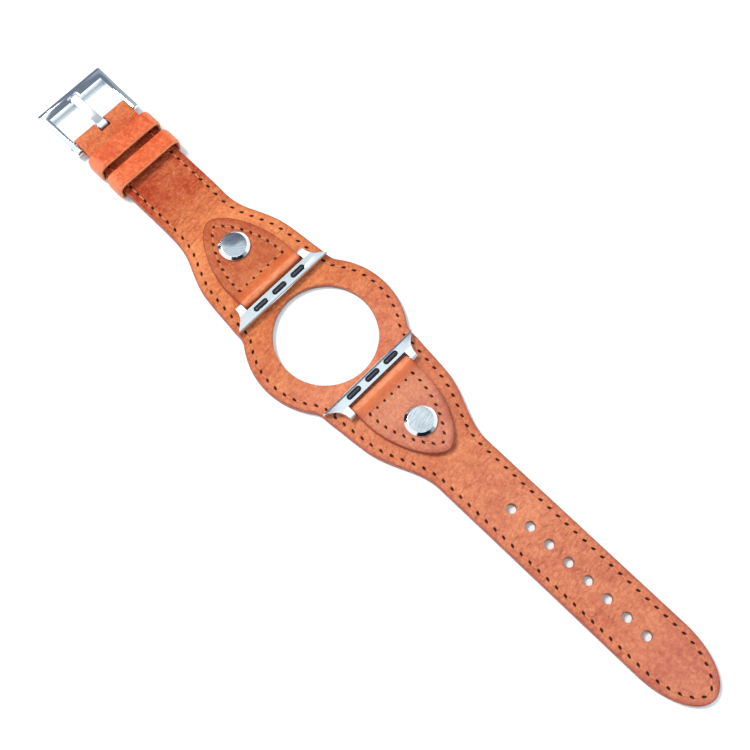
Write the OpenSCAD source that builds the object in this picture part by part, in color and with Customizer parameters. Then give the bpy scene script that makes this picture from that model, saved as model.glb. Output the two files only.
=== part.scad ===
// Leather cuff watch strap. Two tabs, each held by a stud, carry the adapters that slide into the watch case.
// Millimetres. The origin is the centre of the sensor opening, on the wrist side of the strap.
// +X runs to the pointed end, +Y across the strap and +Z away from the wrist.
// Places along the strap are distances from the origin, on the buckle side as well.

/* [Leather] */
// Thickness of the outer leather
outer_t = 1.1; // [0.8:0.1:1.6]
// Thickness of the stiffening sheet between the leathers
core_t = 0.4; // [0.2:0.1:0.8]
// Thickness of the lining leather
lining_t = 0.8; // [0.6:0.1:1.2]

/* [Cuff outline] */
// Diameter of the sensor opening
opening_d = 30.5; // [26:0.5:32]
// Radius of the round middle
round_r = 23.5; // [22:0.5:26]
// Distance at which the round middle runs into the shoulders
round_end_x = 14; // [12:0.5:16]
// Width of the cuff where the shoulders begin
shoulder_w = 35.2; // [33:0.1:37]
// Distance at which the shoulders begin
shoulder_x = 20; // [18.5:0.5:23]
// Width of the cuff where the shoulders end
shoulder_end_w = 32.4; // [30:0.1:33]
// Distance at which the shoulders end
shoulder_end_x = 33; // [30:0.5:36]
// Width halfway down the neck
neck_w = 24.5; // [22:0.1:28]
// Distance of that place in the neck
neck_x = 44; // [41:0.5:47]
// Distance at which the straight arms begin
arm_x = 54; // [51:0.5:56]

/* [Tip arm] */
// Width of the arm with the adjustment holes
tip_arm_w = 19.2; // [17:0.1:20]
// Distance of the pointed tip
tip_x = 144.6; // [140:0.2:160]
// Length of the pointed end
point_l = 18.6; // [14:0.2:22]
// Diameter of an adjustment hole
hole_d = 2.9; // [2.2:0.1:3.4]
// Spacing of the adjustment holes
hole_pitch = 7; // [5:0.5:7.5]
// Number of adjustment holes
hole_count = 8; // [5:1:8]
// Distance of the adjustment hole nearest to the watch
first_hole_x = 72.1; // [68:0.1:76]

/* [Buckle arm] */
// Width of the arm that carries the buckle
buckle_arm_w = 20.7; // [20:0.1:22]
// Width of the leather between the ears of the buckle
fold_w = 19.8; // [18:0.1:20]
// Distance from the spring bar at which the arm has begun to narrow to that width
taper_l = 11.6; // [8:0.1:12]
// Distance of the spring bar
bar_x = 95.6; // [94:0.1:104]
// Thickness of the outer leather where it is thinned to fold round the spring bar
fold_t = 0.75; // [0.5:0.05:1]
// Width of the slot that lets the tongue through the fold
tongue_slot_w = 3.7; // [3.4:0.1:5]
// Reach of that slot past the spring bar
tongue_slot_l = 2.4; // [2.2:0.1:3]
// Length of leather that returns under the strap, from the spring bar
return_l = 9.6; // [7:0.1:11]

/* [Flex lines] */
// Distance of the line where the buckle arm bends
buckle_flex_x = 50; // [47:0.5:51]
// Distance of the line where the tip arm bends
tip_flex_x = 60; // [57:0.5:64]
// Gap left at the middle of the thickness
flex_gap = 0.2; // [0.1:0.05:0.3]
// Bend towards the wrist that the ends leave room for, in degrees
flex_down = 40; // [20:5:60]
// Bend away from the wrist that the ends leave room for, in degrees
flex_up = 30; // [10:5:40]

/* [Keepers] */
// Thickness of the keeper leather
keeper_t = 1; // [0.8:0.1:1.4]
// Width of a keeper along the strap
keeper_w = 6; // [5:0.2:7]
// Distance from the spring bar to the middle of the fixed keeper
fixed_keeper_to_bar = 10.6; // [8.6:0.1:11]
// Gap between the fixed keeper and the sliding keeper at rest
keeper_gap = 2.5; // [0.5:0.1:8]
// Gap between a keeper and the edge of the strap
keeper_side_gap = 0.65; // [0.3:0.05:1]
// Play of the sliding keeper under the strap and over the tucked tip arm
keeper_play = 0.15; // [0.1:0.05:0.4]
// Outer radius of a keeper's upper corners
keeper_corner_r = 2.6; // [1.8:0.1:3]
// Outer radius of a keeper's corners on the wrist side
keeper_foot_r = 1.5; // [1.2:0.1:1.6]

/* [Stitching] */
// Diameter of the thread
thread_d = 0.45; // [0.3:0.05:0.6]
// Length of one stitch of the perimeter seam, hole to hole
stitch_pitch = 3.24; // [2.8:0.02:5]
// Length of one stitch of a tab seam
tab_stitch_pitch = 2.9; // [2.6:0.02:4]
// Part of each stitch that dives into the needle holes
needle_gap = 1; // [0.6:0.1:1.4]
// Distance of the perimeter seam from the edge
seam_inset = 2.2; // [1.6:0.1:3]

/* [Tabs] */
// Thickness of one layer of tab leather
tab_t = 1.1; // [0.8:0.1:1.5]
// Thickness of the tab leather where it is thinned to fold round the pin
tab_fold_t = 0.7; // [0.5:0.05:0.9]
// Width of a tab
tab_w = 22.2; // [20:0.2:23]
// Distance at which the tab begins to narrow
tab_shoulder_x = 28; // [26:0.5:30]
// Distance of the tip of the tab
tab_tip_x = 48.9; // [46:0.1:52]
// Distance of the tab seam from the edge
tab_seam_inset = 2.6; // [1.8:0.1:3.2]
// Distance of the tab seam's row across the tab
tab_row_x = 26.3; // [26:0.1:28]
// Distance of the stud
stud_x = 37.5; // [35:0.1:38.5]

/* [Studs] */
// Diameter of the cap
cap_d = 9.4; // [8:0.1:10]
// Diameter of the flat face of the cap
cap_face_d = 7.5; // [6:0.1:7.8]
// Height of the cap over the tab
cap_h = 1.4; // [1.1:0.1:2]
// Diameter of the hollow post
post_d = 4.4; // [3.8:0.1:5]
// Diameter of the screw in the post
screw_d = 2.8; // [2:0.1:3]
// Diameter of the flat head on the wrist side
head_d = 8; // [6:0.2:9]

/* [Adapters] */
// Distance of the adapter's edge that faces the watch
adapter_x = 16.85; // [16.2:0.05:17.4]
// Width of the adapter bar
adapter_bar_w = 3.5; // [3.1:0.1:4]
// Thickness of the adapter
adapter_t = 2.6; // [2.4:0.1:3]
// Span of the claws, point to point
claw_span = 35.3; // [32:0.1:37]
// Width of an arm that holds the pin
lug_arm_w = 2.05; // [1.6:0.05:2.6]
// Radius of the fillet between an arm and its claw
claw_fillet_r = 5; // [3:0.1:5.4]
// Diameter of the pin
pin_d = 1.3; // [1:0.1:1.4]
// Length of a pad
pad_l = 5.06; // [4:0.1:6]
// Width of a pad
pad_w = 1.65; // [1.2:0.05:1.8]
// Spacing of the pads
pad_pitch = 7.3; // [6.6:0.1:7.6]
// Travel of the sprung catch
catch_travel = 0.6; // [0.3:0.05:0.7]

/* [Buckle] */
// Width of the buckle frame
frame_w = 24.6; // [24:0.1:28]
// Thickness of the frame
frame_t = 2.6; // [2.2:0.1:3]
// Reach of the frame past the spring bar
frame_reach = 16.1; // [14:0.1:20]
// Width of the frame's outer bar
outer_bar_w = 4; // [2.8:0.1:4.2]
// Reach of the ears behind the spring bar
ear_reach = 3.2; // [2.6:0.1:3.6]
// Width of the tongue
tongue_w = 3; // [2.4:0.1:3.2]
// Thickness of the tongue
tongue_t = 1.2; // [0.9:0.1:1.4]
// Diameter of the spring bar's tube
bar_d = 1.8; // [1.5:0.1:2]
// Travel of a spring bar tip
tip_travel = 0.8; // [0.5:0.1:1]

/* [Hidden] */
$fn = 64;

// Clearance of a turning fit, on the radius
fit = 0.05;
// Clearance between flat faces that slide on each other
slide_fit = 0.05;
// Clearance round a pad or catch in its slot
pad_fit = 0.04;
// Something larger than the strap, for cuts
big = 60;

// Heights in the laminate, from the wrist side
strap_t = lining_t + core_t + outer_t;
core_z = lining_t;
outer_z = lining_t + core_t;

// The buckle arm is lifted by the keeper that passes under it, from its flex line on
lift_h = keeper_t + keeper_play;
lift_start_x = buckle_flex_x;
lift_end_x = buckle_flex_x + 8;
bar_z = lift_h + strap_t / 2;
bar_r = bar_d / 2;
eye_r = bar_r + fit;
fold_r = eye_r + fold_t;
fold_start_x = bar_x - 4.6;
fold_glue_x = bar_x - 4.1;

taper_x = bar_x - taper_l;
fixed_keeper_x = bar_x - fixed_keeper_to_bar;
sliding_keeper_x = fixed_keeper_x - keeper_w - keeper_gap;

// The point of the tip arm is half an ellipse
point_x = tip_x - point_l;

// Adapter, tab and stud
adapter_lift = 0.2;
adapter_z = strap_t + adapter_lift;
adapter_outer_x = adapter_x + adapter_bar_w;
lug_end_r = 1.15;
pin_r = pin_d / 2;
tab_eye_r = pin_r + fit;
tab_fold_r = tab_eye_r + tab_fold_t;
fold_to_bar_gap = 0.8;
pin_x = adapter_outer_x + fold_to_bar_gap + tab_fold_r;
pin_z = adapter_z + adapter_t / 2;
lug_arm_in = tab_w / 2 + 0.15;
lug_arm_out = lug_arm_in + lug_arm_w;
pad_x = adapter_outer_x - pad_w;
pad_depth = 1.4;
pad_proud = 0.1;
spring_floor = 0.4;
catch_z = adapter_z + adapter_t - 1.1;
tab_z = strap_t + slide_fit;
tab_top_z = tab_z + 2 * tab_t;
cap_r = cap_d / 2;
cap_face_r = cap_face_d / 2;
post_r = post_d / 2;
screw_r = screw_d / 2;
head_r = head_d / 2;
cap_z = tab_top_z + slide_fit;
cap_top_z = cap_z + cap_h;
cap_roof = 0.6;

// Buckle
window_w = fold_w + 0.5;
ear_r = 1.5;
frame_reach_in = frame_reach - outer_bar_w;
droop = asin((bar_z - frame_t / 2) / frame_reach);
tongue_loop_r = eye_r + 0.8;
recess_depth = 0.6;
recess_l = 1.9;
flange_t = 0.2;
tip_r = 0.55;
tube_half_l = fold_w / 2 - 0.1 - tip_travel;

// Smooth curve between two knots, each a place, a half width and a slope
function curve(a, b, x) =
    let (h = b[0] - a[0], t = (x - a[0]) / h)
    (2 * t ^ 3 - 3 * t ^ 2 + 1) * a[1] + (t ^ 3 - 2 * t ^ 2 + t) * h * a[2]
    + (3 * t ^ 2 - 2 * t ^ 3) * b[1] + (t ^ 3 - t ^ 2) * h * b[2];

// Half width of the round middle
function round_w(d) = sqrt(round_r ^ 2 - d ^ 2);

// Half width of the cuff between the round middle and an arm of the given width
function neck_half(d, arm_w) =
    let (
        a = [round_end_x, round_w(round_end_x), -round_end_x / round_w(round_end_x)],
        b = [shoulder_x, shoulder_w / 2, -0.12],
        c = [shoulder_end_x, shoulder_end_w / 2, -0.16],
        e = [neck_x, neck_w / 2, -0.45],
        f = [arm_x, arm_w / 2, 0]
    )
    d < b[0] ? curve(a, b, d) : d < c[0] ? curve(b, c, d) : d < e[0] ? curve(c, e, d) : curve(e, f, d);

// Half width of the buckle arm
function buckle_half(d) =
    let (t = min(1, max(0, (d - taper_x) / (fold_start_x + 1 - taper_x))))
    (buckle_arm_w + (fold_w - buckle_arm_w) * t) / 2;

// Half width of the strap at x, up to where the point begins
function half_width(x) =
    let (d = abs(x))
    d <= round_end_x ? round_w(d)
    : d < arm_x ? neck_half(d, x < 0 ? buckle_arm_w : tip_arm_w)
    : x < 0 ? buckle_half(d) : tip_arm_w / 2;

// Places from a up to b, without b, about step apart
function span(a, b, step) =
    let (n = max(1, ceil((b - a) / step))) [for (i = [0 : n - 1]) a + (b - a) * i / n];

function reverse(list) = [for (i = [len(list) - 1 : -1 : 0]) list[i]];

// A closed outline from its +Y half and the points where it crosses the middle
function both_sides(half, middle = []) = concat(half, middle, [for (p = reverse(half)) [p[0], -p[1]]]);

// One long edge of the strap, from past the fold to the tip
edge_x = concat(
    [-bar_x - 5, -fold_start_x - 1, -taper_x], span(-arm_x, -round_end_x, 2),
    span(-round_end_x, round_end_x, 1.75), span(round_end_x, arm_x, 2), [arm_x, point_x]
);
edge = concat(
    [for (x = edge_x) [x, half_width(x)]],
    [for (a = [6 : 6 : 84]) [point_x + point_l * sin(a), tip_arm_w / 2 * cos(a)]]
);
outline = both_sides(edge, [[tip_x, 0]]);

// Height of the wrist side over the table
function lift(x) = let (t = min(1, max(0, (-x - lift_start_x) / (lift_end_x - lift_start_x))))
    lift_h * t * t * (3 - 2 * t);
lift_x = span(-lift_end_x, -lift_start_x, 1.4);

// Set-back of a segment's end at height z in the laminate, so that the flex line can bend both ways
function set_back(z) =
    let (d = z - strap_t / 2)
    flex_gap / 2 + (d > 0 ? d * tan(flex_up / 2) : -d * tan(flex_down / 2));

// Outline of a length of laminate seen from the side, x from a to b, between heights z0 and z1
function side(a, b, z0, z1) =
    let (mid = [for (x = concat(lift_x, [-lift_start_x])) if (x > a + 0.8 && x < b - 0.8) x])
    concat(
        [[a + (abs(a) < bar_x ? set_back(z0) : 0), lift(a) + z0]], [for (x = mid) [x, lift(x) + z0]],
        [[b - (b < tip_x ? set_back(z0) : 0), lift(b) + z0]],
        [[b - (b < tip_x ? set_back(z1) : 0), lift(b) + z1]],
        [for (x = reverse(mid)) [x, lift(x) + z1]],
        [[a + (abs(a) < bar_x ? set_back(z1) : 0), lift(a) + z1]]
    );

// A shape drawn from the side, x along the strap and y up, as a bar of width w across the strap
module across(w) rotate([90, 0, 0]) linear_extrude(w, center = true) children();

module strap_plan() linear_extrude(12) polygon(outline);

// A length of one layer of the laminate, cut to the strap's outline
module layer(a, b, z0, z1) intersection() {
    strap_plan();
    across(big) polygon(side(a, b, z0, z1));
}

module opening_cut() translate([0, 0, -1]) cylinder(h = 12, r = opening_d / 2, $fn = 128);

module stud_holes(r) for (s = [-1, 1]) translate([s * stud_x, 0, -1]) cylinder(h = 12, r = r);

module adjustment_holes() for (i = [0 : hole_count - 1])
    translate([first_hole_x + i * hole_pitch, 0, -1]) cylinder(h = 12, d = hole_d);

// Cuff

module cuff_leather() color("#d97c4b") difference() {
    layer(-buckle_flex_x, tip_flex_x, outer_z, strap_t);
    opening_cut();
    stud_holes(post_r + fit);
}

module cuff_core() color("#e8e2d6") difference() {
    layer(-buckle_flex_x, tip_flex_x, core_z, outer_z);
    opening_cut();
    stud_holes(post_r + fit);
}

module cuff_lining() color("#c39263") difference() {
    layer(-buckle_flex_x, tip_flex_x, 0, lining_t);
    opening_cut();
    stud_holes(head_r + fit);
}

// Tip arm

module tip_arm_leather() color("#d97c4b") difference() {
    layer(tip_flex_x, tip_x + 1, outer_z, strap_t);
    adjustment_holes();
}

module tip_arm_core() color("#e8e2d6") difference() {
    layer(tip_flex_x, tip_x + 1, core_z, outer_z);
    adjustment_holes();
}

module tip_arm_lining() color("#c39263") difference() {
    layer(tip_flex_x, tip_x + 1, 0, lining_t);
    adjustment_holes();
}

// Buckle arm

// The outer leather from the side: thinned towards the fold, round the bar, and back under the strap
top_side = concat(
    [[-bar_x, bar_z + fold_r], [-bar_x, bar_z + eye_r], [-fold_glue_x, lift_h + outer_z]],
    [for (x = lift_x) if (x < -buckle_flex_x - 0.8) [x, lift(x) + outer_z]],
    [[-buckle_flex_x - set_back(outer_z), lift(-buckle_flex_x) + outer_z],
     [-buckle_flex_x - set_back(strap_t), lift(-buckle_flex_x) + strap_t]],
    [for (x = reverse(lift_x)) if (x < -buckle_flex_x - 0.8) [x, lift(x) + strap_t]],
    [[-fold_start_x, lift_h + strap_t]]
);
return_side = [
    [-bar_x, bar_z - fold_r], [-bar_x, bar_z - eye_r], [-fold_glue_x, lift_h + lining_t],
    [return_l - bar_x, lift_h + lining_t], [return_l - bar_x, lift_h], [-fold_start_x, lift_h]
];

module buckle_arm_leather() color("#d97c4b") difference() {
    intersection() {
        strap_plan();
        union() {
            across(big) polygon(top_side);
            across(big) polygon(return_side);
            translate([-bar_x, 0, bar_z]) across(big) circle(fold_r);
        }
    }
    translate([-bar_x, 0, bar_z]) across(big) circle(eye_r);
    across(big) polygon([
        [-bar_x, bar_z - eye_r], [-fold_glue_x, lift_h + lining_t], [-fold_glue_x, lift_h + outer_z],
        [-bar_x, bar_z + eye_r]
    ]);
    translate([-bar_x - 5, -tongue_slot_w / 2, -1]) cube([5 + tongue_slot_l, tongue_slot_w, 12]);
}

module buckle_arm_core() color("#e8e2d6") intersection() {
    layer(-bar_x - 1, -buckle_flex_x, core_z, outer_z);
    translate([-fold_glue_x, -big / 2, 0]) cube(big);
}

module buckle_arm_lining() color("#c39263") intersection() {
    layer(-bar_x - 1, -buckle_flex_x, 0, lining_t);
    translate([return_l - bar_x, -big / 2, 0]) cube(big);
}

// Seams

// Seam points from the middle of the tip back along the +Y side to the fixed keeper
function edge_normal(x) =
    let (m = (half_width(x + 0.01) - half_width(x - 0.01)) / 0.02) [-m, 1] / sqrt(1 + m * m);
seam_back = concat(
    [for (a = [90 : -5 : 5])
        let (n = [tip_arm_w / 2 * sin(a), point_l * cos(a)])
        [point_x + point_l * sin(a), tip_arm_w / 2 * cos(a)] - seam_inset * n / norm(n)],
    [for (x = concat([point_x], reverse(edge_x))) if (x <= point_x && x > -fixed_keeper_x)
        [x, half_width(x)] - seam_inset * edge_normal(x)],
    [[-fixed_keeper_x, half_width(-fixed_keeper_x) - seam_inset]]
);

// Seam points of a tab, from its tip to the corner of its row across
tab_point_l = tab_tip_x - tab_shoulder_x;
tab_seam_half = tab_w / 2 - tab_seam_inset;
tab_seam = concat(
    [for (a = [90 : -6 : 6]) let (t = sin(a))
        [tab_shoulder_x + (tab_point_l - tab_seam_inset) * t, tab_seam_half * (1 - t ^ 1.7) ^ 0.75]],
    [[tab_shoulder_x, tab_seam_half], [tab_row_x, tab_seam_half]]
);
tab_row = [[tab_row_x, tab_seam_half], [tab_row_x, 0]];

// Distance of each point from the first, along the points
function run(points, i = 0, sum = 0) =
    i >= len(points) ? [] : concat([sum], run(points, i + 1, sum + (i + 1 < len(points)
        ? norm(points[i + 1] - points[i]) : 0)));

// Point at distance s along a seam whose distances are known
function at(points, dist, s) = [
    lookup(s, [for (i = [0 : len(points) - 1]) [dist[i], points[i][0]]]),
    lookup(s, [for (i = [0 : len(points) - 1]) [dist[i], points[i][1]]])
];

// One stitch between two points in space
module stitch(p, q) {
    d = q - p;
    tilt = acos(d[2] / norm(d));
    translate(p) rotate([0, tilt, atan2(d[1], d[0])]) cylinder(h = norm(d), d = thread_d, $fn = 16);
}

// Stitches of a seam and of its mirror image, at height z in the strap, where both ends are between a and b.
// Across its first point the seam has a needle hole or, where start is a half, a stitch.
module seam(points, pitch, z, a, b, start = 0) {
    dist = run(points);
    count = round(dist[len(dist) - 1] / pitch);
    step = dist[len(dist) - 1] / count;
    for (k = [1 : count - 2 * start]) {
        p = at(points, dist, (k - 1 + start) * step + needle_gap / 2);
        q = at(points, dist, (k + start) * step - needle_gap / 2);
        if (min(p[0], q[0]) > a && max(p[0], q[0]) < b) for (side = [-1, 1])
            stitch([p[0], side * p[1], lift(p[0]) + z], [q[0], side * q[1], lift(q[0]) + z]);
    }
    first = at(points, dist, start * step - needle_gap / 2);
    if (start > 0 && first[0] < b) stitch([first[0], first[1], z], [first[0], -first[1], z]);
}

// Seam on both faces of the laminate: it stands a little proud on top and is flush on the wrist side
thread_proud = 0.1;
seam_keep = 1.2;

module perimeter_seam(a, b) color("#f0c9a8") for (z = [thread_d / 2, strap_t + thread_proud - thread_d / 2])
    seam(seam_back, stitch_pitch, z, a, b, 0.5);

module cuff_thread() perimeter_seam(-buckle_flex_x + seam_keep, tip_flex_x - seam_keep);
module buckle_arm_thread() perimeter_seam(-fixed_keeper_x, -buckle_flex_x - seam_keep);
module tip_arm_thread() perimeter_seam(tip_flex_x + seam_keep, tip_x);

// Keepers

// A keeper's section, w wide and h high, with corners of radius r above and foot_r below
module keeper_section(w, h, r, foot_r) {
    translate([-w / 2, foot_r - h / 2]) square([w, h - r - foot_r]);
    translate([r - w / 2, 0]) square([w - 2 * r, h / 2]);
    translate([foot_r - w / 2, -h / 2]) square([w - 2 * foot_r, h / 2]);
    for (s = [-1, 1]) {
        translate([s * (w / 2 - r), h / 2 - r]) circle(r);
        translate([s * (w / 2 - foot_r), foot_r - h / 2]) circle(foot_r);
    }
}

// A closed loop of leather round the strap and one more thickness of strap; its inside is z0 to z1
module keeper(x, z0, z1) {
    in_w = buckle_arm_w + 2 * keeper_side_gap;
    h = z1 - z0;
    translate([x - keeper_w / 2, 0, (z0 + z1) / 2]) rotate([90, 0, 90]) linear_extrude(keeper_w)
        difference() {
            keeper_section(in_w + 2 * keeper_t, h + 2 * keeper_t, keeper_corner_r, keeper_foot_r);
            keeper_section(in_w, h, keeper_corner_r - keeper_t, keeper_foot_r - keeper_t);
        }
}

tucked_top_z = lift_h + 2 * strap_t + keeper_play;
module fixed_keeper() color("#d2703c") keeper(-fixed_keeper_x, lift_h, tucked_top_z);
module sliding_keeper() color("#d2703c") keeper(-sliding_keeper_x, keeper_t, tucked_top_z);

// Tabs, as they lie on the tip side

// Half width of a tab's pointed part, at share t of its length
function tab_half(t) = tab_w / 2 * (1 - t ^ 1.7) ^ 0.6;
tab_edge = concat([[pin_x - 5, tab_w / 2]],
    [for (a = [0 : 6 : 84]) [tab_shoulder_x + tab_point_l * sin(a), tab_half(sin(a))]]);

// The tab leather from the side, past the pin: two layers glued and sewn together
tab_side = [
    [pin_x, pin_z - tab_fold_r], [pin_x + 0.8, tab_z], [tab_tip_x + 1, tab_z], [tab_tip_x + 1, tab_top_z],
    [pin_x + 4, tab_top_z], [pin_x + 1.2, pin_z + tab_fold_r - 0.1], [pin_x, pin_z + tab_fold_r]
];

module tab_leather() color("#dc7f4a") difference() {
    intersection() {
        linear_extrude(12) polygon(both_sides(tab_edge, [[tab_tip_x, 0]]));
        union() {
            across(big) polygon(tab_side);
            translate([pin_x, 0, pin_z]) across(big) circle(tab_fold_r);
        }
    }
    translate([pin_x, 0, pin_z]) across(big) circle(tab_eye_r);
    across(big) polygon([
        [pin_x, pin_z - tab_eye_r], [pin_x + 2.8, tab_z + tab_t], [pin_x, pin_z + tab_eye_r]
    ]);
    translate([stud_x, 0, 0]) cylinder(h = 12, r = post_r + 2 * fit);
}

module tab_thread() color("#f0c9a8") for (points = [tab_seam, tab_row])
    seam(points, tab_stitch_pitch, tab_top_z + thread_proud - thread_d / 2, 0, tip_x);

// Studs

module stud_cap() color("#c9ccd0") translate([stud_x, 0, 0]) rotate_extrude() polygon([
    [screw_r + fit, lining_t + 0.1], [post_r, lining_t + 0.1], [post_r, cap_z], [cap_r, cap_z],
    [cap_r, cap_z + 0.55], [cap_face_r, cap_top_z], [0, cap_top_z], [0, cap_top_z - cap_roof],
    [screw_r + fit, cap_top_z - cap_roof]
]);

module stud_screw() color("#a9adb2") translate([stud_x, 0, 0]) difference() {
    union() {
        cylinder(h = lining_t, r = head_r);
        cylinder(h = cap_top_z - cap_roof - 0.1, r = screw_r);
    }
    translate([-big / 2, -0.4, -1]) cube([big, 0.8, 1 + lining_t / 2]);
}

// Adapters, as they lie on the tip side

// One half of the adapter seen from above
claw_angle = 48;
claw_arc_x = pin_x + 0.3;
claw_half = claw_span / 2;
adapter_edge = concat(
    [[adapter_x, 0], [adapter_x, claw_half - 0.5], [adapter_x + 0.15, claw_half]],
    [for (a = [claw_angle : -6 : 0])
        [claw_arc_x - claw_fillet_r * sin(a), lug_arm_out + claw_fillet_r * (1 - cos(a))]],
    [[pin_x + adapter_t, lug_arm_out], [pin_x + adapter_t, lug_arm_in], [adapter_outer_x, lug_arm_in],
     [adapter_outer_x, 0]]
);

module pill(l, w) {
    square([w, l - w], center = true);
    for (s = [-1, 1]) translate([0, s * (l - w) / 2]) circle(d = w);
}

// A pad or slot, grown by g all round, between heights z0 and z1
module pad_solid(i, g, z0, z1) translate([pad_x, i * pad_pitch, z0])
    linear_extrude(z1 - z0) pill(pad_l + 2 * g, pad_w + 2 * g);

// The adapter from the side: a bar with a rounded nose, and arms that narrow to their round ends
nose = 0.9;
adapter_top_z = adapter_z + adapter_t;
adapter_side = concat(
    [for (a = [0 : 15 : 90]) [adapter_x + nose * (1 - sin(a)), adapter_z + nose * (1 - cos(a))]],
    [for (a = [90 : -15 : 0]) [adapter_x + nose * (1 - sin(a)), adapter_top_z - nose * (1 - cos(a))]],
    [[adapter_outer_x, adapter_top_z], [pin_x, pin_z + lug_end_r], [pin_x, pin_z - lug_end_r],
     [adapter_outer_x, adapter_z]]
);

module adapter_body() color("#d5dbe0") difference() {
    intersection() {
        linear_extrude(12) polygon(both_sides(adapter_edge));
        union() {
            across(big) polygon(adapter_side);
            translate([pin_x, 0, pin_z]) across(big) circle(lug_end_r);
        }
    }
    for (i = [-1, 1]) pad_solid(i, pad_fit, adapter_top_z - pad_depth, 12);
    pad_solid(0, pad_fit, adapter_z + spring_floor, 12);
    translate([pin_x, 0, pin_z]) across(big) circle(pin_r + fit / 2);
}

module adapter_pads() color("#22262b") for (i = [-1, 1])
    pad_solid(i, 0, adapter_top_z - pad_depth, adapter_top_z + pad_proud);

module adapter_catch() color("#16181c") pad_solid(0, 0, catch_z, adapter_top_z + pad_proud);

module catch_spring() color("#9a9da2") translate([pad_x, 0, adapter_z + spring_floor]) difference() {
    cylinder(h = catch_z - adapter_z - spring_floor, r = 0.65);
    translate([0, 0, -1]) cylinder(h = 4, r = 0.4);
}

module adapter_pin() color("#8f9398") translate([pin_x, 0, pin_z]) across(2 * lug_arm_out) circle(pin_r);

// Buckle, drawn level with the spring bar at its origin, then drooped until the outer bar lies on the table

module at_buckle() translate([-bar_x, 0, bar_z]) rotate([0, -droop, 0]) children();

// One half of the frame seen from above
frame_edge = [
    [ear_reach + 1, window_w / 2 + 1.75], [-6, window_w / 2 + 1.85], [1 - frame_reach, frame_w / 2],
    [-frame_reach, frame_w / 2 - 1]
];

// The frame from the side, up to the round ends of its ears
frame_h = frame_t / 2;
ear_x = ear_reach - ear_r;
frame_side = [
    [-frame_reach, -frame_h], [-frame_reach, frame_h - 0.7], [0.25 - frame_reach, frame_h - 0.35],
    [0.7 - frame_reach, frame_h - 0.1], [1.4 - frame_reach, frame_h], [-4, frame_h],
    [ear_x, ear_r], [ear_x, -ear_r], [-1, -frame_h]
];

// Cuts that slope a side bar's top outwards and inwards, and leave a flat that narrows towards the ear
module bar_slopes() {
    translate([-frame_reach_in, frame_w / 2 - 0.6, frame_h]) rotate([0, 0, -5]) rotate([-22, 0, 0])
        translate([-12, 0, 0]) cube([30, 12, 6]);
    translate([-frame_reach_in, window_w / 2 - 0.1, frame_h]) rotate([0, 0, 3]) rotate([20, 0, 0])
        translate([0, -12, 0]) cube([20, 12, 6]);
}

module buckle_frame() color("#b9c0c8") at_buckle() difference() {
    intersection() {
        translate([0, 0, -6]) linear_extrude(12) polygon(both_sides(frame_edge));
        union() {
            across(big) polygon(frame_side);
            translate([ear_x, 0, 0]) across(big) circle(ear_r);
        }
    }
    translate([-frame_reach_in, -window_w / 2, -6]) cube([big, window_w, 12]);
    translate([-frame_reach_in - recess_l, -tongue_w / 2 - 0.45, frame_t / 2 - recess_depth])
        cube([recess_l + 1, tongue_w + 0.9, 6]);
    across(big) circle(tip_r + fit);
    bar_slopes();
    mirror([0, 1, 0]) bar_slopes();
}

// One half of the tongue seen from above
tongue_tip_x = frame_reach_in + recess_l - 0.3;
tongue_edge = [
    [tongue_loop_r + 1, tongue_w / 2], [-4, tongue_w / 2], [-9, tongue_w / 2 - 0.1],
    [1.2 - tongue_tip_x, tongue_w / 2 - 0.25], [0.4 - tongue_tip_x, tongue_w / 2 - 0.6], [-tongue_tip_x, 0.3]
];

// The tongue from the side: it falls from its loop, then rises slowly to where it lies on the outer bar
rest_z = frame_h - recess_depth + slide_fit;
tongue_side = [
    [0, tongue_loop_r], [-0.5, tongue_loop_r], [-3.4, rest_z + tongue_t - 0.9],
    [1 - tongue_tip_x, rest_z + tongue_t], [-tongue_tip_x, rest_z + tongue_t - 0.4], [-tongue_tip_x, rest_z],
    [-9, rest_z], [-3.9, 0], [0, -0.4]
];

module buckle_tongue() color("#e2e6ea") at_buckle() difference() {
    intersection() {
        translate([0, 0, -6]) linear_extrude(12) polygon(both_sides(tongue_edge));
        union() {
            across(big) polygon(tongue_side);
            across(big) circle(tongue_loop_r);
        }
    }
    across(big) circle(eye_r);
}

module spring_bar_tube() color("#8f9398") at_buckle() difference() {
    across(2 * tube_half_l) circle(bar_r);
    across(big) circle(tip_r + fit);
}

// A sprung tip: its shaft runs in the tube, its flange stops it, and its end sits in the ear
module spring_bar_tip() color("#a9adb2") at_buckle() {
    flange_y = window_w / 2 - 0.05 - flange_t;
    translate([0, 6.5, 0]) rotate([-90, 0, 0]) cylinder(h = window_w / 2 + tip_travel - 6.5, r = tip_r);
    translate([0, flange_y, 0]) rotate([-90, 0, 0]) cylinder(h = flange_t, r = bar_r - 0.05);
}

module spring_bar_spring() color("#9a9da2") at_buckle() difference() {
    across(13) circle(0.5);
    across(14) circle(0.3);
}

module on_buckle_side() mirror([1, 0, 0]) children();

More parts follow.
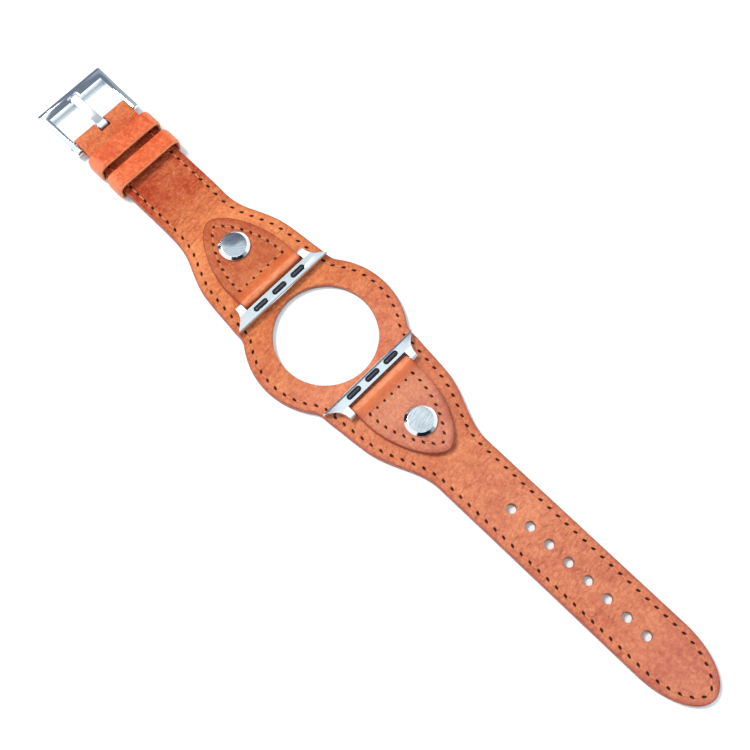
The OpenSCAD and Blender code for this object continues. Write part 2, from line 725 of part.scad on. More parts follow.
cuff_leather();
cuff_core();
cuff_lining();
cuff_thread();
buckle_arm_leather();
buckle_arm_core();
buckle_arm_lining();
buckle_arm_thread();
tip_arm_leather();
tip_arm_core();
tip_arm_lining();
tip_arm_thread();
fixed_keeper();
sliding_keeper();
buckle_frame();
buckle_tongue();
spring_bar_tube();
spring_bar_spring();
spring_bar_tip();  // spring_bar_tip_left
mirror([0, 1, 0]) spring_bar_tip();  // spring_bar_tip_right
on_buckle_side() tab_leather();  // buckle_side_tab_leather
on_buckle_side() tab_thread();  // buckle_side_tab_thread
on_buckle_side() stud_cap();  // buckle_side_stud_cap
on_buckle_side() stud_screw();  // buckle_side_stud_screw
on_buckle_side() adapter_body();  // buckle_side_adapter_body
on_buckle_side() adapter_pads();  // buckle_side_adapter_pads
on_buckle_side() adapter_catch();  // buckle_side_adapter_catch
on_buckle_side() catch_spring();  // buckle_side_catch_spring
on_buckle_side() adapter_pin();  // buckle_side_adapter_pin
tab_leather();  // tip_side_tab_leather
tab_thread();  // tip_side_tab_thread
stud_cap();  // tip_side_stud_cap
stud_screw();  // tip_side_stud_screw
adapter_body();  // tip_side_adapter_body
adapter_pads();  // tip_side_adapter_pads
adapter_catch();  // tip_side_adapter_catch
catch_spring();  // tip_side_catch_spring
adapter_pin();  // tip_side_adapter_pin
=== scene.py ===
"""Leather cuff watch strap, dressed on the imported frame: leather, stitching, steel, camera, floor and light."""

import math
import random
from collections import namedtuple

import bmesh
import bpy
import numpy as np
from mathutils import Matrix, Vector, noise


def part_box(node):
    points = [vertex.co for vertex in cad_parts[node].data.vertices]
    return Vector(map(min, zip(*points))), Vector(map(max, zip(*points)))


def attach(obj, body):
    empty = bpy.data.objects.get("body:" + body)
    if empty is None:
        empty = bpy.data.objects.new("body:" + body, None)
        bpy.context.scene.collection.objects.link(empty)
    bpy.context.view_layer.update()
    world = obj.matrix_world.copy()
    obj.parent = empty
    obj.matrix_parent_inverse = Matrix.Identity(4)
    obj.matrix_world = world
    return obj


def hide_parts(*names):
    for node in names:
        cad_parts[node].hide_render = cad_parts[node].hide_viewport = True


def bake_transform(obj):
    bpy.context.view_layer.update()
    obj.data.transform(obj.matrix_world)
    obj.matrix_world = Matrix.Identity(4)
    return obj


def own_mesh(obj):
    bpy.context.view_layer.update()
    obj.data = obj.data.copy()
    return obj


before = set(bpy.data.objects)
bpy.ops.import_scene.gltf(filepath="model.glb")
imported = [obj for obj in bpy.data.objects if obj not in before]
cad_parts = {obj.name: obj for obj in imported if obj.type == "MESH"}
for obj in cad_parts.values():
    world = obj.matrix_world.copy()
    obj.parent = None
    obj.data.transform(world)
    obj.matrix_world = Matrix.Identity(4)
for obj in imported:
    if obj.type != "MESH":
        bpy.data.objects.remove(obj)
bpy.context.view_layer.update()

# Every length below is in millimetres, and Mesh.object() turns it into metres
MM = 0.001
SIDES = (("buckle_side", -1), ("tip_side", 1))
chance = random.Random(11)


# Camera: where the photograph was taken from

CAMERA_TURN, CAMERA_TILT = math.radians(44.54), math.radians(18.05)
CAMERA_AIM, CAMERA_DISTANCE, CAMERA_LENS = (18.07, 1.70, 0), 369.6, 62.41


def photo_camera():
    lean = math.sin(CAMERA_TILT)
    back = Vector((math.sin(CAMERA_TURN) * lean, -math.cos(CAMERA_TURN) * lean, math.cos(CAMERA_TILT)))
    right = Vector((math.cos(CAMERA_TURN), math.sin(CAMERA_TURN), 0))
    data = bpy.data.cameras.new("photo_camera")
    data.sensor_width = 36
    data.lens = CAMERA_LENS
    data.clip_start = 0.01
    camera = bpy.data.objects.new("photo_camera", data)
    axes = Matrix((right, back.cross(right), back)).transposed().to_4x4()
    camera.matrix_world = Matrix.Translation(Vector(CAMERA_AIM) * MM + back * CAMERA_DISTANCE * MM) @ axes
    bpy.context.scene.collection.objects.link(camera)
    bpy.context.scene.camera = camera


# Sizes of the strap, as in the CAD source

OPENING_R = 15.25
ROUND_R, ROUND_END_X = 23.5, 14
# Outline of a shoulder and its neck: distance from the origin, half width and slope
SHOULDER = [(ROUND_END_X, 18.874, -0.742), (20, 17.6, -0.12), (33, 16.2, -0.16), (44, 12.25, -0.45)]
ARM_X = 54.0
TIP_HALF, BUCKLE_HALF, FOLD_HALF = 9.6, 10.35, 9.9
TAPER_X, TAPER_L = 84, 8
TIP_X, POINT_X, POINT_L = 144.6, 126.0, 18.6
HOLES = [72.1 + 7 * k for k in range(8)]
HOLE_R = 1.45
STUD_X, HEAD_R = 37.5, 4.0
BAR_X, BAR_Z = -95.6, 2.3
LIFT = 1.15
STRAP_T, LINING_T = 2.3, 0.8
SKIN_END_X = -84.0
SEAM_INSET, SEAM_END_X = 2.2, -85.0
PIN_X, PIN_Z = 22.55, 3.8
TAB_HALF, TAB_TIP, TAB_SHOULDER = 11.1, 48.9, 28.0
TAB_LOW, TAB_TOP = 2.35, 4.55
TAB_SEAM_INSET, TAB_ROW_X = 2.6, 26.3
# Stitches of the perimeter, of a tab's curved seam and of its straight row, hole to hole
STITCH, TAB_STITCH, ROW_STITCH = 3.24, 2.9, 2.833
# The arms: name, side, body at the end, and where on X the leather begins and ends to bend
ARMS = (("buckle", -1, "buckle_arm", (-49, -59)), ("tip", 1, "tip_arm", (52, 68)))
# An inset further in than any seam
FAR = 9.0


def mix(a, b, t):
    return a + (b - a) * t


def smooth(t):
    """0 up to 0, 1 from 1 on, and a smooth step between."""
    t = min(1.0, max(0.0, t))
    return t * t * (3 - 2 * t)


def bell(x, width):
    return math.exp(-((x / width) ** 2))


def half_width(x):
    """Half the width of the strap at x, up to where its point begins."""
    d = abs(x)
    if d <= ROUND_END_X:
        return math.sqrt(ROUND_R ** 2 - d ** 2)
    if d >= ARM_X:
        return TIP_HALF if x > 0 else mix(BUCKLE_HALF, FOLD_HALF, min(1, max(0, (d - TAPER_X) / TAPER_L)))
    knots = SHOULDER + [(ARM_X, TIP_HALF if x > 0 else BUCKLE_HALF, 0)]
    a, b = next(pair for pair in zip(knots, knots[1:]) if d <= pair[1][0])
    h = b[0] - a[0]
    t = (d - a[0]) / h
    return ((2 * t ** 3 - 3 * t ** 2 + 1) * a[1] + (t ** 3 - 2 * t ** 2 + t) * h * a[2]
            + (3 * t ** 2 - 2 * t ** 3) * b[1] + (t ** 3 - t ** 2) * h * b[2])


def lift(x):
    """Height of the wrist side, which the keepers lift off the table along the buckle arm."""
    return LIFT * smooth((-x - 50) / 8)


# Meshes

def smoothed(mesh, sharp=None, joined=False):
    """Turns the faces outwards and smooths them, but for edges of sharp degrees or more. joined first joins the
    corners that faces of a CAD solid share, and the flat faces that its mesh divides."""
    work = bmesh.new()
    work.from_mesh(mesh)
    if joined:
        bmesh.ops.remove_doubles(work, verts=work.verts, dist=0.002 * MM)
        bmesh.ops.dissolve_limit(work, angle_limit=math.radians(0.6), verts=work.verts, edges=work.edges)
    bmesh.ops.recalc_face_normals(work, faces=work.faces)
    work.to_mesh(mesh)
    work.free()
    mesh.polygons.foreach_set("use_smooth", [True] * len(mesh.polygons))
    if sharp:
        mesh.set_sharp_from_angle(angle=math.radians(sharp))


class Mesh:
    """Points in millimetres and faces of one piece. Points that coincide are one."""

    def __init__(self):
        self.points, self.uvs, self.faces, self.slots, self.known = [], [], [], [], {}

    def point(self, place, uv=(0.0, FAR)):
        key = tuple(round(c, 3) + 0.0 for c in place)
        if key not in self.known:
            self.known[key] = len(self.points)
            self.points.append(tuple(place))
            self.uvs.append(uv)
        return self.known[key]

    def face(self, corners, slot=0):
        corners = [c for k, c in enumerate(corners) if c != corners[k - 1]]
        if len(corners) > 2 and len(set(corners)) == len(corners):
            self.faces.append(corners)
            self.slots.append(slot)

    def strip(self, a, b, slot=0):
        """Faces between two rows of as many points. slot is one material, or one for each face."""
        for k in range(len(a) - 1):
            self.face([a[k], a[k + 1], b[k + 1], b[k]], slot[k] if isinstance(slot, list) else slot)

    def sheet(self, rows, slot=0):
        """Strips between each row and the next."""
        for a, b in zip(rows, rows[1:]):
            self.strip(a, b, slot)

    def loft(self, rings):
        """A closed body through rings of as many points, with a face on either end."""
        self.sheet([ring + ring[:1] for ring in rings])
        self.face(rings[0])
        self.face(rings[-1])

    def mirror(self):
        """Adds the mirror image across y = 0."""
        twins = [self.point((p[0], -p[1], p[2]), uv) for p, uv in zip(list(self.points), list(self.uvs))]
        for corners, slot in list(zip(self.faces, self.slots)):
            self.face([twins[c] for c in reversed(corners)], slot)

    def object(self, name, *materials, turned=False, sharp=None):
        """The piece in metres; turned adds a half turn about Z, which takes the tip side to the buckle side."""
        sign = -MM if turned else MM
        mesh = bpy.data.meshes.new(name)
        mesh.from_pydata([(x * sign, y * sign, z * MM) for x, y, z in self.points], [], self.faces)
        mesh.polygons.foreach_set("material_index", self.slots)
        for material in materials:
            mesh.materials.append(material)
        layer = mesh.uv_layers.new(name="seam")
        corner = np.zeros(len(mesh.loops), np.int32)
        mesh.loops.foreach_get("vertex_index", corner)
        layer.data.foreach_set("uv", np.array(self.uvs, np.float32)[corner].ravel())
        smoothed(mesh, sharp)
        piece = bpy.data.objects.new(name, mesh)
        bpy.context.scene.collection.objects.link(piece)
        return piece


def bored(piece, *cutters):
    """Takes the cutters out of the piece."""
    for cutter in cutters:
        cut = piece.modifiers.new("cut", "BOOLEAN")
        cut.operation, cut.solver, cut.object = "DIFFERENCE", "EXACT", cutter
    bpy.context.view_layer.update()
    done = bpy.data.meshes.new_from_object(piece.evaluated_get(bpy.context.evaluated_depsgraph_get()))
    piece.modifiers.clear()
    piece.data = done
    for cutter in cutters:
        bpy.data.objects.remove(cutter)


def prism(outline, low, high, place):
    """A closed bar over an outline; place(a, b, h) puts outline point (a, b) at height h into space."""
    mesh = Mesh()
    mesh.loft([[mesh.point(place(a, b, h)) for a, b in outline] for h in (low, high)])
    return mesh.object("cutter")


def circle(radius, count):
    return [(radius * math.cos(t), radius * math.sin(t)) for t in (2 * math.pi * k / count for k in range(count))]


# The strap seen from above

def edge_table():
    """The strap's long edge as arrays, from the tip back to the end of the seam on the +Y side: place, outward
    normal, distance along the edge and distance along the seam."""
    tip = [(POINT_X + POINT_L * math.sin(a), TIP_HALF * math.cos(a)) for a in np.radians(np.arange(90, 0, -0.5))]
    rest = [(x, half_width(x)) for x in np.arange(POINT_X, SEAM_END_X - 0.6, -0.1)]
    place = np.array(tip + rest)
    along = np.gradient(place, axis=0)
    along[0] = (0, 1)
    along /= np.linalg.norm(along, axis=1)[:, None]
    normal = np.stack([along[:, 1], -along[:, 0]], axis=1)
    seam = place - SEAM_INSET * normal
    run = [np.concatenate([[0], np.cumsum(np.linalg.norm(np.diff(p, axis=0), axis=1))]) for p in (place, seam)]
    return np.column_stack([place, normal, run[0], run[1]])


EDGE = edge_table()
SEAM_LENGTH = float(np.interp(-SEAM_END_X, -EDGE[:, 0], EDGE[:, 5]))
SEAM_COUNT = round(SEAM_LENGTH / STITCH)
SEAM_STEP = SEAM_LENGTH / SEAM_COUNT


def edge_at(distance, by=4):
    """Edge place, outward normal and seam distance, at a distance along the edge (by=4) or the seam (by=5)."""
    return [float(np.interp(distance, EDGE[:, by], EDGE[:, c])) for c in (0, 1, 2, 3, 5)]


def seam_u(distance):
    """Distance along the perimeter seam, counted in stitches. The needle holes are at the whole numbers."""
    return distance / SEAM_STEP - 0.5


# A line across a piece seen from above, from its edge inwards: the edge point, the step inwards for each millimetre
# of inset, the place along the seam in stitches, and the point that the line aims at
Line = namedtuple("Line", "x y dx dy u aim_x aim_y")


class Plan:
    """The +Y half of a flat piece seen from above, as lines with points at the same insets and then as many steps
    up to their aim."""

    def __init__(self, lines, insets, steps):
        self.lines, self.insets, self.steps = lines, insets, steps

    def at(self, line, inset):
        return line.x + line.dx * inset, line.y + line.dy * inset

    def places(self, line):
        """(x, y, inset, u) of the points of a line, from the edge to its aim."""
        found = [(*self.at(line, d), d, line.u) for d in self.insets]
        x, y, inset, u = found[-1]
        for k in range(1, self.steps + 1):
            t = k / self.steps
            found.append((mix(x, line.aim_x, t), max(0.0, mix(y, line.aim_y, t)), mix(inset, FAR, t), u))
        return found


def strap_aim(x):
    """Where the line from an edge point at x ends: on the opening, or on the middle line of the strap."""
    d, sign = abs(x), 1 if x >= 0 else -1
    rim = OPENING_R + 0.45
    if d < 24:
        angle = math.radians(90 * (1 - d / 24))
        return sign * rim * math.cos(angle), rim * math.sin(angle)
    return sign * (d - (24 - rim) * (1 - smooth((d - 24) / 16))), 0.0


def strap_plan(start_x, end_x, insets, spacing):
    """Lines of the strap from start_x back to end_x."""
    a, b = (float(np.interp(-x, -EDGE[:, 0], EDGE[:, 4])) for x in (start_x, end_x))
    count = math.ceil((b - a) / spacing)
    lines = []
    for k in range(count + 1):
        x, y, nx, ny, s = edge_at(mix(a, b, k / count))
        if k == 0 and start_x == TIP_X:
            x, y, nx, ny = TIP_X, 0.0, 1.0, 0.0
        aim = (x - nx * insets[-1], 0.0) if x > POINT_X - 1 else strap_aim(x)
        lines.append(Line(x, y, -nx, -ny, seam_u(s), *aim))
    return Plan(lines, insets, 13)


def uneven(x, y):
    """Slow waves of the leather's face."""
    return 0.03 * noise.noise(Vector((x / 7, y / 5, 3.1))) + 0.012 * noise.noise(Vector((x / 1.8, y / 1.8, 7.7)))


# How creased the strap is at a place along it
CREASED = ((-84, 0), (-72, 1), (-56, 0.9), (-46, 0.3), (-30, 0.3), (-18, 0.7), (-10, 0.2), (30, 0.2), (60, 0.6),
           (100, 0.7), (120, 0.1))


def crumple(x, y):
    """Depth of the creases at a place of the strap, most on the buckle arm and beside the opening."""
    much = float(np.interp(x, *zip(*CREASED)))
    bend = 1.5 * noise.noise(Vector((x / 8, y / 8, 5.0)))
    field = noise.noise(Vector((x / 2.4 + 0.3 * y + bend, y / 5 - bend, 7.7)))
    return 0.1 * much * smooth(1 - abs(field) / 0.22)


def needle(inset, u, at=SEAM_INSET, step=STITCH):
    """How far the thread pulls the leather down beside the seam, most at its needle holes."""
    off = (u - round(u)) * step
    return 0.12 * bell(inset - at, 0.34) + 0.42 * bell(inset - at, 0.27) * bell(off, 0.42)


def outer_face(x, y, inset, u):
    z = STRAP_T + 0.045 * bell(inset - 1.2, 0.6) + 0.03 * bell(inset - 3.3, 0.8) - needle(inset, u)
    return z + uneven(x, y) * smooth((inset - 0.3) / 1.5)


def lining_face(x, y, inset, u):
    return 0.4 * needle(inset, u) + 0.02 + 0.3 * uneven(x, y) * smooth((inset - 0.3) / 1.5)


# Points of the outer skin's edge: inset and height, from the glue line up to the face
OUTER_EDGE = [(0.05, 0.8), (0.0, 0.9), (0.0, 1.3), (0.0, 1.85), (0.02, 2.01), (0.07, 2.13), (0.16, 2.22), (0.32, 2.28)]
LINING_EDGE = [(0.05, 0.8), (0.0, 0.7), (0.0, 0.45), (0.03, 0.25), (0.12, 0.1), (0.3, 0.03)]
OUTER_INSETS = [0.62, 0.9, 1.2, 1.5, 1.72, 1.9, 2.05, 2.2, 2.35, 2.5, 2.7, 3.0, 3.4, 3.8, 4.2]
LINING_INSETS = [0.7, 1.2, 1.6, 1.9, 2.2, 2.5, 2.8, 3.3, 4.2]
# Towards the wall of a hole and of the opening: how far outside the wall, and how far the face has fallen there
HOLE_RIM = [(0.5, 0), (0.22, 0.02), (0.07, 0.09), (0, 0.24)]
OPENING_RIM = [(0.2, 0.03), (0.06, 0.12), (0.0, 0.3)]


def laminate(name, plan, edge, face, outward, holes, materials):
    """One layer of the strap as a closed shell: its shown face, its edge, its glued face and its holes. edge lists
    inset and height of the edge's points, outward is 1 for the upper face and -1 for the lower one, and holes lists
    centre, radius and reach on the middle line."""
    mesh = Mesh()
    shown_rows, inner_rows, edge_rows = [], [], []
    for line in plan.lines:
        places = plan.places(line)
        shown_rows.append([mesh.point((x, y, face(x, y, d, u) + lift(x)), (u, d)) for x, y, d, u in places])
        inner_rows.append([mesh.point((x, y, LINING_T + lift(x)), (u, FAR)) for x, y, d, u in places])
        rise = []
        for inset, z in edge:
            x, y = plan.at(line, inset)
            rise.append(mesh.point((x, y, z + lift(x)), (line.u, inset)))
        edge_rows.append(rise)
    ring = len(plan.insets)

    def spoke(corner, angle, centre, radius, shown):
        """Points from a corner of the space round a hole to the wall of the hole."""
        x, y, _ = mesh.points[corner]
        steps = [(mix(math.hypot(x - centre, y), radius + 0.5, t), 0.0) for t in (0.3, 0.55, 0.75, 0.9)]
        steps += [(radius + grow, fall) for grow, fall in (HOLE_RIM if shown else HOLE_RIM[-1:])]
        points = [corner]
        for r, fall in steps:
            px, py = centre + r * math.cos(angle), max(0.0, r * math.sin(angle))
            level = face(px, py, FAR, 0) - fall * outward if shown else LINING_T
            points.append(mesh.point((px, py, level + lift(px))))
        return points

    def hole(i, j, centre, radius):
        """Fills the space between lines i and j inside the insets, round a hole on the middle line."""
        walls = []
        for rows, shown in ((shown_rows, True), (inner_rows, False)):
            loop = rows[i][ring - 1:][::-1] + [rows[k][ring - 1] for k in range(i + 1, j)] + rows[j][ring - 1:]
            sides = []
            for k, corner in enumerate(loop):
                x, y, _ = mesh.points[corner]
                angle = math.atan2(y, x - centre)
                if k in (0, len(loop) - 1):
                    angle = 0.0 if x > centre else math.pi
                sides.append(spoke(corner, angle, centre, radius, shown))
            mesh.sheet(sides)
            walls.append([points[-1] for points in sides])
        mesh.strip(walls[0], walls[1], 1)

    spans = []
    for centre, radius, reach in holes:
        near = [min(range(len(plan.lines)),
                    key=lambda k: abs(plan.lines[k].aim_x - x) + FAR * (plan.lines[k].aim_y > 0))
                for x in (centre + reach, centre - reach)]
        spans.append((min(near), max(near)))
        hole(min(near), max(near), centre, radius)
    for i in range(len(plan.lines) - 1):
        in_hole = any(a <= i < b for a, b in spans)
        width = ring if in_hole else len(shown_rows[i])
        mesh.strip(shown_rows[i][:width], shown_rows[i + 1][:width])
        mesh.strip(inner_rows[i][:width], inner_rows[i + 1][:width])
        mesh.strip([inner_rows[i][0]] + edge_rows[i] + [shown_rows[i][0]],
                   [inner_rows[i + 1][0]] + edge_rows[i + 1] + [shown_rows[i + 1][0]],
                   [1] * len(edge) + [0])
    # The rim of the opening, where the lines aim at it
    rim_rows = []
    at_rim = [line.aim_y > 0 for line in plan.lines]
    for i, (line, shown, inner) in enumerate(zip(plan.lines, shown_rows, inner_rows)):
        if not any(at_rim[max(i - 1, 0):i + 2]):
            continue
        angle = math.atan2(line.aim_y, line.aim_x)
        rim = [shown[-1]]
        for grow, fall in OPENING_RIM:
            r = OPENING_R + grow
            x, y = r * math.cos(angle), max(0.0, r * math.sin(angle))
            rim.append(mesh.point((x, y, face(x, y, FAR, 0) - fall * outward)))
        rim_rows.append(rim + [mesh.point((x, y, LINING_T)), inner[-1]])
    mesh.sheet(rim_rows, [0, 0, 0, 1, 1])
    for i in (0, len(plan.lines) - 1):
        if i == 0 and plan.lines[0].x > TIP_X - 0.01:
            continue
        loop = edge_rows[i] + shown_rows[i]
        if abs(plan.lines[i].x) < 1:
            loop += rim_rows[0 if i == 0 else -1][1:]
        mesh.face(loop + inner_rows[i][::-1], 1)
    mesh.mirror()
    if outward > 0:
        for k, ((x, y, z), (_, inset)) in enumerate(zip(mesh.points, mesh.uvs)):
            top = smooth((z - lift(x) - STRAP_T + 0.3) / 0.2)
            mesh.points[k] = (x, y, z - top * crumple(x, y) * smooth((inset - 0.4) / 1.2))
    return mesh.object(name, *materials)


# Shaders

class Nodes:
    """Short calls for the nodes of one tree."""

    def __init__(self, tree):
        self.tree = tree
        self.coords = tree.nodes.new("ShaderNodeTexCoord")

    def node(self, kind, inputs=(), **settings):
        made = self.tree.nodes.new(kind)
        for key, value in settings.items():
            setattr(made, key, value)
        for key, value in dict(inputs).items():
            self.put(made.inputs[key], value)
        return made

    def put(self, socket, value):
        if isinstance(value, bpy.types.NodeSocket):
            self.tree.links.new(value, socket)
        else:
            socket.default_value = value

    def math(self, operation, *values, clamp=False):
        return self.node("ShaderNodeMath", enumerate(values), operation=operation, use_clamp=clamp).outputs[0]

    def times(self, a, b):
        return self.math("MULTIPLY", a, b)

    def plus(self, a, b):
        return self.math("ADD", a, b)

    def parts(self, vector):
        return self.node("ShaderNodeSeparateXYZ", {"Vector": vector}).outputs

    def uv(self):
        """The two numbers that a mesh keeps as UV: a place along it and a distance across."""
        return self.parts(self.coords.outputs["UV"])[:2]

    def span(self, value, low, high, **settings):
        """0 at low, 1 at high and a step between."""
        return self.node("ShaderNodeMapRange", {"Value": value, "From Min": low, "From Max": high},
                         **settings).outputs[0]

    def object_space(self, scale=(1, 1, 1), turn=(0, 0, 0)):
        """The piece's own coordinates in millimetres, turned and then stretched."""
        size = tuple(MM / s for s in scale)
        return self.node("ShaderNodeMapping", {"Vector": self.coords.outputs["Object"], "Scale": size,
                                               "Rotation": turn}, vector_type="TEXTURE").outputs[0]

    def noise(self, vector, scale, detail=3.0, roughness=0.55, distortion=0.0):
        return self.node("ShaderNodeTexNoise", {"Vector": vector, "Scale": scale, "Detail": detail,
                                                "Roughness": roughness, "Distortion": distortion}).outputs["Fac"]

    def cells(self, vector, scale, feature="F1", **inputs):
        made = self.node("ShaderNodeTexVoronoi", {"Vector": vector, "Scale": scale, **inputs}, feature=feature)
        return made.outputs["Distance"]

    def ramp(self, value, *stops, smoothly=True):
        """A colour or grey ramp; a stop is a place and a grey or a colour."""
        made = self.node("ShaderNodeValToRGB", {"Fac": value})
        made.color_ramp.interpolation = "EASE" if smoothly else "LINEAR"
        while len(made.color_ramp.elements) < len(stops):
            made.color_ramp.elements.new(1.0)
        for element, (place, tone) in zip(made.color_ramp.elements, stops):
            element.position = place
            element.color = (tone,) * 3 + (1,) if isinstance(tone, (int, float)) else (*tone, 1)
        return made.outputs["Color"]

    def blend(self, share, a, b, mode="MIX"):
        made = self.node("ShaderNodeMix", data_type="RGBA", blend_type=mode)
        self.put(made.inputs[0], share)
        for socket, value in ((made.inputs[6], a), (made.inputs[7], b)):
            self.put(socket, (*value, 1) if isinstance(value, tuple) and len(value) == 3 else value)
        return made.outputs[2]

    def bump(self, height, strength, distance, under=None):
        inputs = {"Height": height, "Strength": strength, "Distance": distance * MM}
        if under is not None:
            inputs["Normal"] = under
        return self.node("ShaderNodeBump", inputs).outputs[0]


class Surface(Nodes):
    """The nodes of one material."""

    def __init__(self, name):
        self.material = bpy.data.materials.new(name)
        self.material.use_nodes = True
        super().__init__(self.material.node_tree)
        self.shader = self.tree.nodes["Principled BSDF"]

    def finish(self, dye, roughness, field, change, specular=0.5, **inputs):
        """Sets the shader. Its roughness grows with a field, by change where the field is 1."""
        self.put(self.shader.inputs["Base Color"], dye)
        self.put(self.shader.inputs["Specular IOR Level"], specular)
        self.put(self.shader.inputs["Roughness"], self.plus(roughness, self.times(field, change)))
        for key, value in inputs.items():
            self.put(self.shader.inputs[key], value)
        return self.material


def colour(r, g, b):
    """A colour of 0 to 255 in linear light."""
    return tuple(c / 12.92 if c <= 0.04045 else ((c + 0.055) / 1.055) ** 2.4 for c in (r / 255, g / 255, b / 255))


def dyed(r, g, b):
    """The dye of a surface that the photograph shows in this colour, under the studio's light."""
    return tuple(c / light for c, light in zip(colour(r, g, b), (1.10, 1.22, 1.50)))


def needle_holes(n, u, off, length, width, slant):
    """Share of a needle hole at a point, from its place along the seam in stitches and its distance off it. One
    length in millimetres serves for the stitches of every seam."""
    along = n.times(n.math("SUBTRACT", u, n.math("ROUND", u)), 3.1)
    a = n.plus(along, n.times(off, slant))
    b = n.math("SUBTRACT", off, n.times(along, slant))
    reach = n.plus(*(n.math("POWER", n.math("DIVIDE", part, size), 2.0) for part, size in ((a, length), (b, width))))
    return n.math("SUBTRACT", 1.0, n.math("SMOOTH_MIN", reach, 1.0, 0.6), clamp=True)


class Leather(Surface):
    """Finished leather: mottled dye, creases with painted shade in their valleys, and grain. A piece adds its own
    seams, folds, wear and painted highlights to it.
    """

    def __init__(self, name, tones, creased, grain=1.0):
        """tones are places along the strap with the colour the photograph shows there, and creased says how creased
        the leather is there."""
        super().__init__(name)
        space = self.object_space()
        self.x, self.y = self.parts(space)[:2]
        base = self.along_strap([(x, dyed(*tone)) for x, *tone in tones])
        crumple = self.along_strap(creased)
        deep = self.blend(1.0, base, (0.58, 0.36, 0.30), "MULTIPLY")
        pale = self.blend(0.6, base, dyed(255, 190, 140))
        clouds = self.noise(space, 0.11, 4.0, 0.6, 0.8)
        patches = self.noise(space, 0.42, 4.0, 0.62, 1.2)
        self.fine = self.noise(space, 1.1, 3.0, 0.6)
        # Creases: broad soft folds that wander along the arms, with a faint line of painted shade in their valleys
        folds = self.noise(self.object_space((1, 0.35, 1), (0, 0, -0.6)), 0.45, 2.0, 0.5, 0.6)
        waves = self.noise(self.object_space((1, 0.32, 1), (0, 0, 0.15)), 0.85, 2.0, 0.45, 0.5)
        here = self.times(crumple, self.ramp(patches, (0.34, 0.25), (0.56, 1.0)))
        crease_shade = self.times(here, self.math("MAXIMUM", self.ridges(folds, 0.08), self.ridges(waves, 0.09)))
        self.dye = base
        for field, tone, *stops in ((clouds, pale, (0.36, 0.0), (0.68, 0.32)),
                                    (clouds, deep, (0.34, 0.22), (0.52, 0.0)),
                                    (patches, deep, (0.50, 0.0), (0.72, 0.24)),
                                    (self.fine, deep, (0.38, 0.3 * grain), (0.56, 0.0)),
                                    (self.fine, pale, (0.54, 0.0), (0.72, 0.34 * grain))):
            self.tint(self.ramp(field, *stops), tone)
        # Painted shade along the crease valleys
        self.tint(self.times(crease_shade, 0.34), deep)
        grains = self.cells(space, 1.7, "SMOOTH_F1", Smoothness=0.8)
        self.normal = self.bump(self.plus(self.times(grains, 0.6), self.times(self.fine, 0.8)), 0.35 * grain, 0.1)
        self.normal = self.bump(self.times(self.plus(folds, waves), crumple), 1.0, 1.1, self.normal)

    def along_strap(self, stops):
        """A ramp over the place along the strap, from stops of x and a colour or grey."""
        share = self.math("DIVIDE", self.plus(self.x, 100.0), 250.0)
        return self.ramp(share, *[((x + 100) / 250, tone) for x, tone in stops], smoothly=False)

    def ridges(self, field, width):
        """Lines where a noise crosses its middle."""
        return self.ramp(self.math("ABSOLUTE", self.math("SUBTRACT", field, 0.5)), (0.0, 1.0), (width, 0.0))

    def tint(self, share, tone, mode="MIX"):
        self.dye = self.blend(share, self.dye, tone, mode)

    def seam(self, inset):
        """Painted shade in the needle holes, and a burnished edge along the perimeter, from the distances kept as UV.
        """
        u, across = self.uv()
        edge = self.ramp(self.math("DIVIDE", across, 4.0), (0.0, 0.9), (0.10, 0.5), (0.30, 0.12), (0.6, 0.0))
        self.tint(edge, (0.72, 0.50, 0.50), "MULTIPLY")
        self.shade_needle_holes(needle_holes(self, u, self.math("SUBTRACT", across, inset), 0.86, 0.42, 0.32))

    def row(self, row_x, pitch, half):
        """Painted shade in the needle holes of a straight row across the strap."""
        off = self.math("SUBTRACT", self.math("ABSOLUTE", self.x), row_x)
        inside = self.math("LESS_THAN", self.math("ABSOLUTE", self.y), half)
        holes = needle_holes(self, self.math("DIVIDE", self.y, pitch), off, 0.5, 0.46, 0.3)
        self.shade_needle_holes(self.times(holes, inside))

    def shade_needle_holes(self, holes):
        # Darkens the needle holes: painted shade inside them
        self.tint(self.ramp(holes, (0.05, 0.0), (0.40, 1.0)), colour(62, 12, 5))

    def done(self, roughness):
        return self.finish(self.dye, roughness - 0.08, self.fine, 0.16, specular=0.2, Normal=self.normal)


def cuff_leather():
    tones = [(-95, 180, 70, 35), (-62, 186, 75, 41), (-46, 231, 145, 98), (-15, 214, 124, 82), (12, 212, 130, 107),
             (50, 212, 130, 102), (75, 212, 133, 112), (110, 205, 123, 104), (145, 194, 118, 108)]
    creased = [(-95, 0.3), (-74, 1.0), (-56, 0.9), (-46, 0.5), (-20, 0.9), (14, 0.5), (50, 0.6), (100, 0.8),
               (125, 0.3)]
    n = Leather("outer_leather", tones, creased)
    n.seam(SEAM_INSET)
    return n.done(0.55)


def tab_leather():
    """The tabs' leather, saturated beside the row of stitches, with a painted highlight where it bends round the pin.
    """
    tones = [(-40, 180, 87, 50), (-20, 184, 92, 56), (20, 197, 126, 110), (40, 200, 129, 116)]
    n = Leather("tab_leather", tones, [(-40, 0.25), (40, 0.2)], 0.9)
    across = n.math("DIVIDE", n.math("SUBTRACT", n.math("ABSOLUTE", n.x), 21.0), 6.0)
    n.tint(n.ramp(across, (0.20, 0.4), (0.38, 0.75), (0.60, 0.6), (0.95, 0.0)), dyed(206, 100, 50))
    streaks = n.noise(n.object_space((1, 0.3, 1)), 1.6, 3.0, 0.6)
    # Painted highlight on the fold round the pin, broken up by streaks
    fold_highlight = n.ramp(across, (0.02, 0.0), (0.16, 0.8), (0.30, 0.8), (0.44, 0.1), (0.6, 0.0))
    n.tint(n.times(fold_highlight, n.ramp(streaks, (0.35, 0.45), (0.6, 1.0))), dyed(238, 160, 128))
    n.seam(TAB_SEAM_INSET)
    n.row(TAB_ROW_X, ROW_STITCH, 9.2)
    return n.done(0.45)


